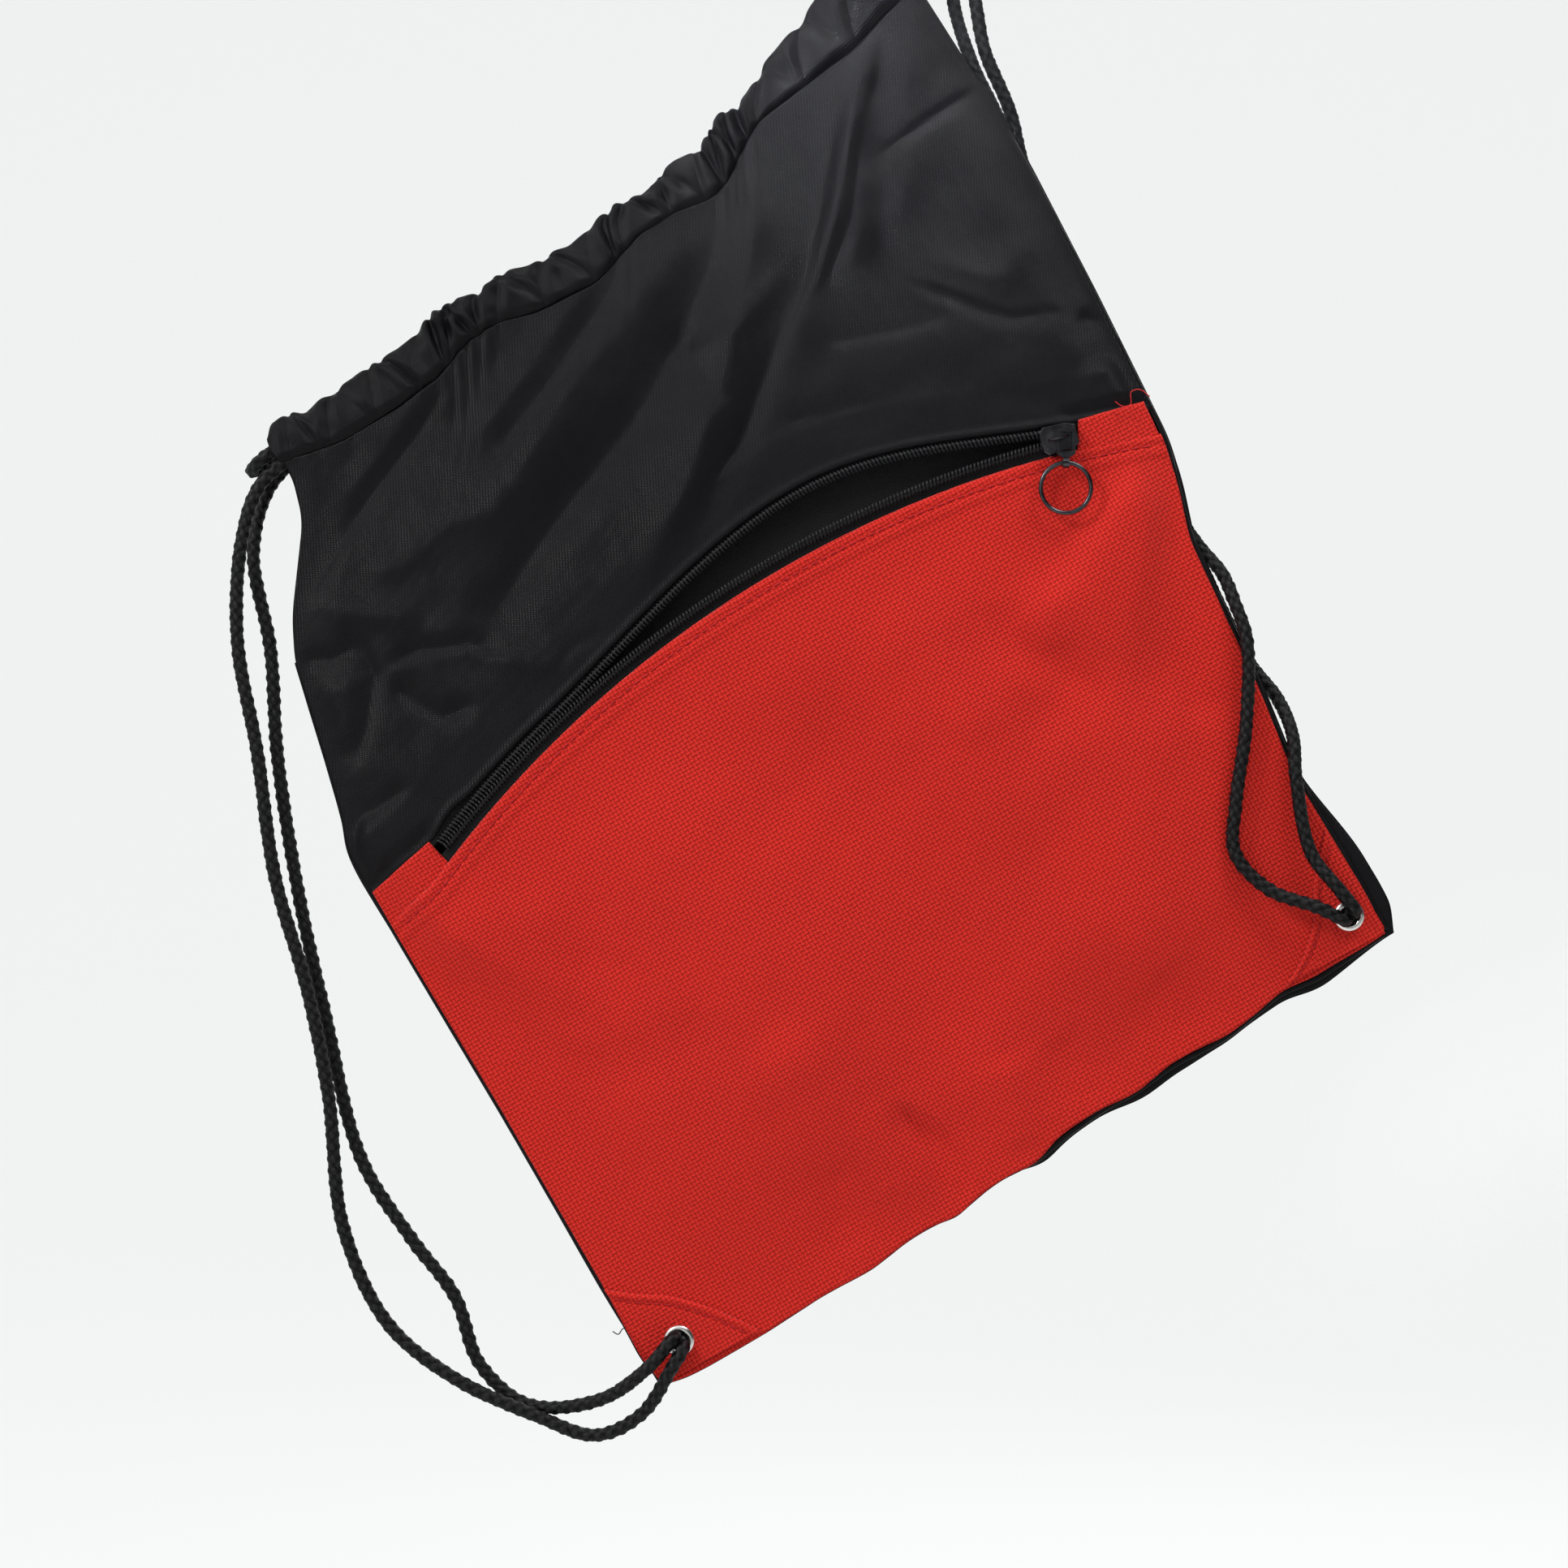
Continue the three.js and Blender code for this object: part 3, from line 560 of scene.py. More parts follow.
def plait(gone, turn, around, pitch):
    """Height of a braid, 0 to 1: two sets of strands that pass over and under each other."""
    u = math.pi * (gone[:, None] / pitch + around * turn[None, :] / (2 * math.pi))
    v = math.pi * (gone[:, None] / pitch - around * turn[None, :] / (2 * math.pi))
    over = (np.floor(u / math.pi) + np.floor(v / math.pi)) % 2 > 0.5
    one, other = np.abs(np.sin(u)), np.abs(np.sin(v))
    return np.where(over, one ** 0.7 * (0.6 + 0.4 * other), other ** 0.7 * (0.6 + 0.4 * one))


def braided(name, route, node, eyelet, knot_depth=11.0):
    """A round braided cord from a knot behind its eyelet, out through both casings and back."""
    a, b = eyelet
    ends = []
    for tip in (route[0], route[-1]):
        lean = (np.array(tip) - world(a, b, 3.0)) * np.array([1, 0, 1])
        lean = lean / (np.linalg.norm(lean) + 1e-9) * 0.0014
        ends.append([world(a, b, -knot_depth) + 0.9 * lean, world(a, b, -4.0) + lean,
                     world(a, b, 2.0) + lean * 1.15])
    full = ends[0] + [np.array(p) for p in route] + ends[1][::-1]
    path, length = curve_through(full, 0.0007)
    gone = np.linspace(0, length, len(path))
    edge = np.minimum(gone, length - gone)
    radius = 0.00265 - 0.00095 * (1 - smooth(edge * 1000, 12, 21))
    sides = 24
    turn = np.arange(sides) * 2 * math.pi / sides
    wear = 1 + 0.02 * np.sin(gone[:, None] * 310 + 2 * turn[None, :])
    strands = plait(gone, turn, 4, 0.0046)
    points, faces = round_tube(path, radius[:, None] * (0.72 + 0.33 * strands) * wear, sides)
    height = np.concatenate([strands.ravel(), [0.5, 0.5]])
    obj = finish_mesh(name, points, faces, CORD, "bag", [node], height=height)
    return obj, path, length


def knot(name, eyelet, node):
    """A stopper knot lying behind its eyelet: the cord wound once through itself."""
    centre = world(eyelet[0], eyelet[1], -10.8)
    path = []
    for x in np.linspace(0.25, 2 * math.pi + 0.1, 26):
        across = (math.sin(x) + 2 * math.sin(2 * x)) * 1.75
        up = (math.cos(x) - 2 * math.cos(2 * x)) * 1.75
        path.append(centre + np.array([across, -2.3 * math.sin(3 * x), up]) / 1000)
    path, length = curve_through(path, 0.0007)
    gone = np.linspace(0, length, len(path))
    turn = np.arange(24) * 2 * math.pi / 24
    strands = plait(gone, turn, 4, 0.0046)
    points, faces = round_tube(path, 0.0023 * (0.72 + 0.33 * strands), 24)
    height = np.concatenate([strands.ravel(), [0.5, 0.5]])
    return finish_mesh(name, points, faces, CORD, "bag", [node], height=height)


knot_left = knot("knot_left", EYE_LEFT, "cord_knot_left")
knot_right = knot("knot_right", EYE_RIGHT, "cord_knot_right")
for name, route, node, eyelet, tied in (
        ("cord_left", CORD_LEFT, "drawcord_left", EYE_LEFT, knot_left),
        ("cord_right", CORD_RIGHT, "drawcord_right", EYE_RIGHT, knot_right)):
    obj, path, length = braided(name, route, node, eyelet)

# ---------------------------------------------------------------- cloth of the bag
SEAM = 2.4


def edge_left(b):
    """The left side edge, as a for each b."""
    return softline(LEFT, b, 3.0)


def edge_right(b):
    """The right side edge, as a for each b."""
    return softline(RIGHT, b, 3.0)


def bottom_line(a):
    return softline(BOTTOM, a, 2.5)


def stitch_line(a):
    return softline(STITCH, a, 2.0)


def top_line(a):
    return np.maximum(softline(TOP, a, 0.8), line(CASING_MID, a) + 6.6)


def panel(low, high, step, inset_left, inset_right):
    """Grid of (a, b) between two lines and the side edges, with points about step apart."""
    columns = int(350 / step) + 1
    rows = int(np.max(high(np.linspace(0, 350, 40)) - low(np.linspace(0, 350, 40))) / step) + 1
    across, up = np.meshgrid(np.linspace(0, 1, columns), np.linspace(0, 1, rows))
    a = 350 * across
    for _ in range(6):
        b = low(a) + (high(a) - low(a)) * up
        left = edge_left(b) + inset_left
        right = edge_right(b) - (inset_right(b) if callable(inset_right) else inset_right)
        a = left + (right - left) * across
    return a, b, across, up


def free(a, b, near, far):
    """How free the cloth is of the seams: 0 near them, 1 far from them."""
    return (smooth(a - edge_left(b), near, far) * smooth(edge_right(b) - a, near, far)
            * smooth(b - bottom_line(a), near * 0.7, far))


# Valleys between the gathers along the mouth, with how tall each gather stands
VALLEYS = [40, 57, 66, 79, 93, 107, 118, 127, 134, 141, 149, 159, 170, 178, 188, 199, 208, 219,
           228, 238, 247, 253, 258, 264, 270, 280, 291, 303, 316, 330, 343, 360]
HEIGHTS = [1.2, 0.8, 1.6, 0.8, 1.4, 1.1, 1.7, 2.0, 1.7, 2.2, 1.3, 2.0, 0.9, 1.5, 1.9, 1.2, 2.1, 1.3,
           1.9, 1.2, 2.2, 1.8, 2.3, 2.0, 1.2, 1.9, 1.1, 1.7, 1.2, 1.6, 1.1]


def gathers(a, seed=0):
    """Rounded lobes with sharp valleys between them, 0 to about 2."""
    valleys = np.array(VALLEYS, float)
    heights = np.roll(HEIGHTS, seed)
    k = np.clip(np.searchsorted(valleys, a) - 1, 0, len(heights) - 1)
    x = np.clip((a - valleys[k]) / (valleys[k + 1] - valleys[k]), 0, 1)
    return heights[k] * np.sin(math.pi * x) ** 0.75


def tightness(a):
    """Where the mouth is drawn up hard, 0 to 1."""
    return sum(np.exp(-((a - at) / wide) ** 2) for at, wide in ((134, 13), (207, 8), (257, 12)))


def upper_base(a, b):
    """Depth of the black front without its folds."""
    hem = upper_hem(a)
    above = 1 - smooth(b - hem, 20, 120)
    sides = smooth(a - edge_left(b), 1, 22) * smooth(edge_right(b) - a, 1, 22)
    mouth = 1.3 * (1 - smooth(stitch_line(a) - b, 0, 40)) * smooth(a - edge_left(b), 0, 8)
    return 1.5 + mouth + sides * (5.5 * above + 3.4 * (1 - above) * smooth(stitch_line(a) - b, 6, 50))


def upper_hem(a):
    """Lower edge of the black front: it arches with the zip and clears the closed slider."""
    at_slider = 1.8 * np.exp(-((a - 40) / 7.5) ** 2)
    return arc(a, 441.2) + 15 * gape(angle_at(a)) + 6.0 * (1 - smooth(a, 2, 30)) + at_slider


def tab_bed(a, b):
    """Depth of the layers under the tabs, which thin out towards the side seams."""
    return 1.0 + 4.6 * smooth(a - edge_left(b), 2, 20) * smooth(edge_right(b) - a, 2, 20)


# Folds of the black front: points, height, half-width on the lower right, on the upper left
UPPER_FOLDS = [
    ([(126, 379), (103, 364), (75, 352), (48, 338), (24, 325)], -1.7, 3.0, 7.5),
    ([(126, 386), (105, 372), (80, 361), (60, 352)], 1.5, 7, 6),
    ([(206, 386), (190, 372), (166, 360), (138, 347), (108, 334)], -2.2, 3.2, 8),
    ([(196, 384), (170, 372), (140, 358), (112, 347)], 1.7, 8, 8),
    ([(240, 385), (214, 372), (186, 358), (160, 348), (128, 330), (92, 312)], 3.0, 11, 13),
    ([(256, 388), (232, 364), (205, 343), (172, 324), (140, 312), (110, 298), (80, 280), (70, 268)],
     -4.0, 10, 10),
    ([(214, 352), (207, 338), (209, 322), (214, 312)], -1.6, 5, 7),
    ([(286, 402), (260, 376), (236, 346), (214, 322), (184, 296), (150, 270), (130, 262)],
     4.2, 8, 11),
    ([(312, 407), (298, 384), (276, 358), (258, 338), (236, 322), (212, 302), (188, 284), (160, 266)],
     -2.6, 4.5, 5),
    ([(326, 410), (306, 384), (284, 358), (266, 340), (246, 326), (222, 312)], 3.2, 7, 6),
    ([(342, 416), (325, 396), (305, 374), (286, 350), (268, 336), (250, 326)], -2.4, 6, 4),
    ([(352, 418), (338, 398), (322, 372), (306, 346), (292, 330)], 2.6, 9, 8),
    ([(336, 416), (318, 392), (300, 366), (284, 344), (268, 326)], 6.0, 8, 26),
    ([(292, 322), (303, 310), (314, 296), (322, 288), (334, 283), (342, 278)], -1.8, 1.6, 5),
    ([(300, 330), (316, 310), (332, 296)], 1.5, 7, 6),
    ([(252, 316), (270, 309), (290, 303), (306, 300)], -1.5, 6, 2.5),
    ([(344, 276), (352, 268)], -1.2, 2.0, 3.5),
    ([(356, 372), (334, 370), (306, 367)], -1.3, 3.5, 1.5),
    ([(226, 300), (240, 288), (262, 280)], -1.2, 6, 6),
    ([(40, 318), (42, 303), (41, 291), (30, 277), (14, 262)], -2.2, 3.0, 6),
    ([(17, 312), (30, 305), (42, 304)], -1.6, 3.0, 5),
    ([(44, 292), (60, 291), (78, 284), (92, 270)], -1.7, 4.5, 2.2),
    ([(47, 288), (49, 275), (56, 264), (72, 262)], -2.0, 4.5, 3.0),
    ([(32, 330), (50, 312), (70, 300)], 1.6, 8, 8),
    ([(28, 300), (22, 282), (16, 270)], 1.6, 6, 5),
    ([(34, 248), (14, 246), (0, 238)], -1.2, 2.2, 4),
    ([(64, 300), (78, 282), (98, 262), (118, 252)], 1.4, 7, 6),
    ([(100, 256), (112, 262), (128, 262)], -0.9, 2.5, 2.5),
    ([(294, 270), (312, 256), (330, 246)], -1.0, 4, 5),
    ([(210, 334), (236, 338), (262, 352)], 0.8, 4, 4),
    ([(120, 322), (96, 326), (70, 322), (50, 330)], 0.9, 6, 7),
]


def upper_folds(a, b):
    """All folds, gathers and fine creases of the black front."""
    total = 0 * a
    for points, height, left, right in UPPER_FOLDS:
        total = total + ridge(a, b, points, height, left, right)
    below = np.clip(stitch_line(a) - b, 0, None)
    slanted = a + 0.55 * below + below ** 2 / 140
    drawn = 0.2 + tightness(slanted)
    pleats = (gathers(slanted) - 0.9) * drawn * (0.55 * np.exp(-below / 7) + 0.22 * np.exp(-below / 26))
    fine = 0.30 * wander(a, b, 30, 3) + 0.12 * wander(a, b, 11, 4, 2)
    return total + pleats + fine


def upper_depth(a, b):
    """Depth of the black front, kept clear of what lies behind it."""
    near_sides = smooth(a - edge_left(b), 0, 12) * smooth(edge_right(b) - a, 0, 12)
    near_hem = 0.25 + 0.75 * smooth(b - upper_hem(a), 1, 22)
    depth = upper_base(a, b) + upper_folds(a, b) * near_sides * near_hem
    least = np.where(b < arc(a, 478), 1.1, -4.0) + 5.4 * (1 - smooth(b - upper_hem(a), 18, 30))
    least = least * near_sides + 0.2
    depth = np.maximum(depth, least) + 0.35 * np.exp(-np.abs(depth - least))
    tabbed = np.maximum(1 - smooth(a, 27, 34), smooth(a, 317, 323))
    tabbed = tabbed * (1 - smooth(b - upper_hem(a), 3, 9))
    return depth + (np.minimum(depth, tab_bed(a, b)) - depth) * tabbed


def line_stitches(name, line_points, depth_of, mat, body, pitch=4.0, long=2.9, r=0.28):
    """Stitches along a line of (a, b) points: short rounded threads that dip at both ends."""
    pts = np.array(line_points, float)
    gone = np.concatenate([[0], np.cumsum(np.hypot(*np.diff(pts, axis=0).T))])
    points, faces, count = [], [], 0
    for s in np.arange(pitch * 0.5, gone[-1] - long, pitch):
        at = s + np.linspace(0, long, 7)
        x, y = np.interp(at, gone, pts[:, 0]), np.interp(at, gone, pts[:, 1])
        lift = 0.22 * np.sin(np.linspace(0, math.pi, 7)) ** 0.6 - 0.1
        path = world(x, y, depth_of(x, y) + lift)
        p, f = round_tube(path, 0.001 * r * np.array([0.6, 0.9, 1, 1, 1, 0.9, 0.6]), 6)
        points.append(p)
        faces += [tuple(i + count for i in face) for face in f]
        count += len(p)
    return finish_mesh(name, np.concatenate(points), faces, mat, body)


# Black front
a, b, across, up = panel(upper_hem, lambda x: stitch_line(x) + 1.0, 1.25, 0.8, 0.8)
hem_roll = 0.5 * np.exp(-((b - upper_hem(a) - 1.4) / 1.2) ** 2)
front = cloth("front_cloth", a, b, upper_depth(a, b) + hem_roll, 0.45, NYLON, "bag",
              ["front_upper_panel"])


# Creases across the casings: where each meets the stitching and the top, how deep, how wide
CREASES = [(56, 62, 0.8, 1.6), (66, 62, 1.0, 1.3), (70, 83, 1.2, 1.8), (90, 80, 0.9, 2.0),
           (92, 98, 1.1, 1.6), (112, 103, 1.5, 1.5), (110, 121, 0.8, 2.2), (124, 128, 2.2, 1.4),
           (127, 139, 1.9, 1.3), (139, 133, 1.6, 1.5), (142, 149, 2.0, 1.4), (150, 161, 1.3, 1.7),
           (170, 155, 1.0, 2.0), (168, 178, 1.2, 2.0), (191, 177, 1.4, 1.7), (189, 199, 0.9, 2.2),
           (201, 208, 2.4, 1.4), (206, 216, 1.2, 1.8), (226, 214, 1.4, 1.6), (228, 233, 1.6, 1.8),
           (243, 229, 1.2, 1.6), (243, 248, 1.2, 1.4), (251, 250, 2.4, 1.3), (252, 259, 2.0, 1.1),
           (262, 255, 2.1, 1.2), (259, 267, 1.9, 1.1), (268, 271, 2.2, 1.3), (274, 285, 1.2, 2.0),
           (296, 283, 1.3, 2.2), (298, 309, 1.1, 2.4), (320, 306, 1.3, 2.4), (322, 336, 1.1, 2.2),
           (345, 331, 1.2, 2.2)]


def casing(name, node, middle, outside, shift):
    """Gathered hem round both drawcords: a flat sleeve, creased where the cords draw it up.
    Its stitched edge lies on its outside face, which is the front (1) or the back (-1)."""
    columns, rows = 640, 57
    aa, s = np.meshgrid(np.linspace(50.5, 356.5, columns), np.linspace(0, 1, rows))
    t = 1 - np.abs(1 - 2 * s)
    outer_face = s < 0.5
    low = stitch_line(aa) + 0.8 * shift * np.sin(aa / 19)
    high = top_line(aa) + shift * (0.9 * np.sin(aa / 13 + 2) + 0.6 * np.sin(aa / 5.3))
    turn = t * math.pi / 2
    height = low + (high - low) * np.sin(turn) ** 0.85
    rounding = np.cos(turn) ** 0.42
    lumps = (0.75 * wander(aa, t * 21, 26, 41 + int(10 * shift)) + 0.45 * wander(aa, t * 21, 12, 43)
             + 0.35 * tightness(aa) * wander(aa, t * 18, 7, 44, 2))
    dips = 0 * aa
    notch = 0 * aa
    for a_low, a_high, deep, wide in CREASES:
        off = aa - shift * 4 - a_low - (a_high - a_low) * t
        dips = dips - deep * np.exp(-np.abs(off) / wide)
        dips = dips + 0.75 * deep * np.exp(-((np.abs(off) - 2.4 * wide) / (1.7 * wide)) ** 2)
        notch = notch + deep * np.exp(-((aa - shift * 4 - a_high) / wide) ** 2)
    body = np.sin(math.pi * np.clip(t, 0, 1)) ** 0.5
    relief = (lumps + dips) * (0.15 + 0.85 * body) * np.where(outer_face, 1.0, 0.6)
    half = np.maximum(4.3 + relief, 3.15)
    seam = 1 - smooth(t, 0.0, 0.11)
    outer_depth = half * rounding * (1 - seam) + seam * (2.5 - 0.7 * (t < 0.02))
    inner_depth = -half * rounding + (half * rounding + 1.9) * (1 - smooth(t, 0.02, 0.15))
    depth = middle + outside * np.where(outer_face, outer_depth, inner_depth)
    height = height - 0.7 * notch * smooth(t, 0.6, 1.0) + 0.35 * relief * smooth(t, 0.3, 0.9)
    drift = 0.7 * np.sin(t * 3 + aa / 5) * body
    outer = world(aa + drift, height, depth)
    centre = world(aa, low + 0.55 * (high - low), middle + 0 * aa)
    inward = centre - outer
    inner = outer + inward * (0.00045 / (np.linalg.norm(inward, axis=-1) + 1e-9))[..., None]
    count = rows * columns
    faces = grid_faces(rows, columns)
    if outside < 0:
        faces = faces[:, ::-1]
    rim = []
    for column in (0, columns - 1):
        for k in range(rows - 1):
            i, j = k * columns + column, (k + 1) * columns + column
            rim.append((i, j, j + count, i + count))
    uv = np.stack([aa * 1.35, s * 52], -1).reshape(-1, 2)
    obj = finish_mesh(name, np.concatenate([outer.reshape(-1, 3), inner.reshape(-1, 3)]),
                      np.concatenate([faces, faces[:, ::-1] + count, np.array(rim)]), NYLON, "bag",
                      [node], np.concatenate([uv, uv]))
    return obj


casing("front_casing", "casing_front", 0.0, 1, 0.0)
casing("rear_casing", "casing_back", -15.0, -1, 1.0)
stitch_a = np.linspace(54, 352, 200)
line_stitches("casing_stitches", list(zip(stitch_a, stitch_line(stitch_a) + 0.5)),
              lambda x, y: 0 * x + 2.75, THREAD_BLACK, "bag", 3.6, 2.6, 0.3)


# Black back
def back_depth(a, b):
    """Depth of the back cloth: it bellies out and is gathered at the mouth."""
    mouth = smooth(b, stitch_line(a) - 60, stitch_line(a) - 5)
    base = -1.2 - 14.0 * (1 - (1 - free(a, b, 24, 90)) * (1 - mouth))
    below = np.clip(stitch_line(a) - b, 0, None)
    slanted = a + 0.35 * below
    pleats = (0.9 - gathers(slanted, 3)) * (1.0 * np.exp(-below / 12) + 0.5 * np.exp(-below / 48))
    loose = free(a, b, 6, 60)
    folds = 0 * a
    for points, height, left, right in BACK_FOLDS:
        folds = folds + ridge(a, b, points, height, left, right)
    base = base - 1.6 * smooth(b, stitch_line(a) - 40, stitch_line(a))
    return base + 0.4 * pleats - folds * loose + 0.5 * loose * wander(a, b, 60, 11)


BACK_FOLDS = [
    ([(110, 372), (96, 300), (70, 220), (40, 150)], 2.6, 7, 12),
    ([(150, 376), (140, 310), (120, 240), (92, 160), (70, 100)], -2.6, 9, 7),
    ([(200, 376), (196, 300), (180, 220), (150, 140), (120, 70)], 3.0, 10, 12),
    ([(236, 380), (238, 310), (226, 230), (200, 150)], -2.4, 8, 10),
    ([(268, 392), (276, 320), (268, 240), (246, 160), (220, 90)], 3.0, 9, 12),
    ([(312, 404), (318, 340), (312, 260), (296, 180)], -2.6, 8, 10),
    ([(336, 404), (338, 330), (330, 250), (316, 170)], 2.2, 7, 9),
    ([(20, 30), (70, 60), (130, 74)], 1.8, 6, 9),
    ([(316, 34), (270, 70), (210, 84)], 1.8, 7, 6),
    ([(60, 110), (120, 122), (190, 112), (260, 124)], -1.4, 8, 10),
]


def back_bottom(a):
    return bottom_line(a) - 1.6 * smooth(a, 160, 176) * (1 + 0.6 * np.sin(a / 11))


def behind_right(b):
    """The back cloth shows past the front below the right-hand eyelet."""
    return -0.6 - 4.6 * smooth(b, 4, 22) * (1 - smooth(b, 40, 84))


a, b, across, up = panel(back_bottom, lambda x: stitch_line(x) + 1.5, 1.7, 0.6, behind_right)
back = cloth("back_cloth", a, b, back_depth(a, b), 0.45, NYLON, "bag", ["back_panel"])

# Lining behind the pocket
a, b, across, up = panel(lambda x: bottom_line(x) + 2.5, lambda x: arc(x, 476), 2.2, 2.5, 2.5)
lining_depth = 0.35 + 0.25 * wander(a, b, 70, 21) * free(a, b, 5, 40)
lining = cloth("pocket_back_cloth", a, b, lining_depth, 0.4, LINING, "bag",
               ["pocket_lining"])


# Red pocket front
POCKET_FOLDS = [
    ([(352, 214), (322, 202), (292, 186), (262, 172)], 4.2, 26, 11),
    ([(350, 240), (326, 218), (300, 197), (280, 182)], -1.8, 7, 10),
    ([(266, 198), (261, 184), (265, 170), (282, 160)], -1.2, 5.0, 12),
    ([(262, 172), (240, 162), (216, 160)], 1.2, 9, 12),
    ([(282, 160), (262, 148), (244, 152)], -1.0, 12, 9),
    ([(300, 128), (318, 122), (336, 110)], -1.5, 12, 8),
    ([(137, -2), (140, 12), (140, 28), (130, 52)], -3.0, 9, 2.8),
    ([(124, 0), (122, 22), (112, 56), (106, 100)], 2.6, 20, 14),
    ([(104, 214), (114, 160), (122, 110), (120, 50)], 4.0, 36, 34),
    ([(176, 216), (174, 150), (168, 90), (160, 30)], -4.0, 26, 32),
    ([(300, 150), (276, 100), (250, 66), (214, 40)], 3.6, 34, 30),
    ([(232, 230), (228, 190), (222, 140), (224, 100)], 2.0, 28, 24),
    ([(68, 160), (52, 147), (36, 133)], -0.9, 12, 8),
    ([(10, 196), (34, 182), (66, 180)], 1.4, 12, 14),
    ([(26, 124), (60, 108), (94, 112)], -1.2, 12, 12),
    ([(196, 8), (200, 22), (196, 42)], -1.0, 10, 12),
    ([(246, 10), (250, 26), (244, 44)], -0.8, 14, 12),
    ([(168, 4), (172, 24), (178, 46)], 1.8, 10, 10),
    ([(88, 2), (92, 20), (100, 44)], -1.0, 10, 8),
    ([(338, 186), (328, 150), (318, 112)], 1.4, 10, 12),
]


def pocket_top(a):
    return arc(a, POCKET_R) + 5.0 * (1 - smooth(a, -3, 24))


def pocket_depth(a, b):
    """Depth of the red pocket front with its folds, flat at its two eyelets."""
    high = smooth(b, 120, 200)
    near = 20 + (2 - 20) * high
    far = 66 + (20 - 66) * high
    loose = free(a, b, near, far)
    base = 1.8 + 4.9 * loose
    folds = 0 * a
    for points, height, left, right in POCKET_FOLDS:
        folds = folds + ridge(a, b, points, height, left, right, power=2.0)
    ease = (smooth(a - edge_left(b), 0, 24) * smooth(edge_right(b) - a, 0, 24)
            * (0.35 + 0.65 * smooth(b - bottom_line(a), 0, 22))
            * (0.30 + 0.70 * smooth(pocket_top(a) - b, 2, 30)))
    billow = 1.5 * loose * wander(a, b, 150, 31, 1) + 0.25 * ease * wander(a, b, 34, 32, 2)
    fixed = np.exp(-(((a - 12) / 26) ** 2 + ((b - 10) / 26) ** 2))
    fixed = fixed + np.exp(-(((a - 320) / 26) ** 2 + ((b - 22) / 26) ** 2))
    depth = base + (folds * ease + billow) * (1 - np.clip(fixed, 0, 1))
    return np.maximum(depth, 1.2)


def hem_shape(a, b):
    """The folded edge stands thicker, with a groove where it is stitched."""
    down = pocket_top(a) - b
    roll = 0.55 * smooth(down, 0, 0.9) * (1 - smooth(down, 8.5, 9.6)) - 0.55 * (1 - smooth(down, 0, 0.7))
    groove = -0.65 * np.exp(-((down - 4.4) / 0.8) ** 2)
    return roll + groove


def with_eyelet_hole(obj, centre, radius=4.6):
    """Opens a round hole for an eyelet in a cloth mesh."""
    mesh = obj.data
    hub = world(centre[0], centre[1], 0)
    co = np.empty(len(mesh.vertices) * 3)
    mesh.vertices.foreach_get("co", co)
    co = co.reshape(-1, 3)
    flat = (co - hub) * np.array([1, 0, 1])
    away = np.linalg.norm(flat, axis=1)
    inside = away < radius / 1000
    doomed = [p.index for p in mesh.polygons if all(inside[i] for i in p.vertices)]
    move = inside & (away > 1e-6)
    co[move] += flat[move] * (radius / 1000 / away[move] - 1)[:, None]
    mesh.vertices.foreach_set("co", co.ravel())
    edit = bmesh.new()
    edit.from_mesh(mesh)
    edit.faces.ensure_lookup_table()
    bmesh.ops.delete(edit, geom=[edit.faces[i] for i in doomed], context="FACES")
    edit.to_mesh(mesh)
    edit.free()


def pocket_bottom(a):
    return bottom_line(a) + 0.5 + 2.0 * smooth(a, 162, 180) * (0.7 + 0.3 * np.sin(a / 9))


a, b, across, up = panel(pocket_bottom, pocket_top, 1.25, 1.5, 1.9)
pocket_d = pocket_depth(a, b) + hem_shape(a, b)
pocket = cloth("pocket_cloth", a, b, pocket_d, 0.55, RED, "bag", ["pocket_panel"])
for centre in (EYE_LEFT, EYE_RIGHT):
    for obj in (pocket, back, lining):
        with_eyelet_hole(obj, centre)
hem_a = np.linspace(2, 345, 300)
line_stitches("hem_stitches", list(zip(hem_a, pocket_top(hem_a) - 4.4)),
              lambda x, y: pocket_depth(x, y) + 0.2, THREAD_RED, "bag", 4.1, 3.0, 0.38)


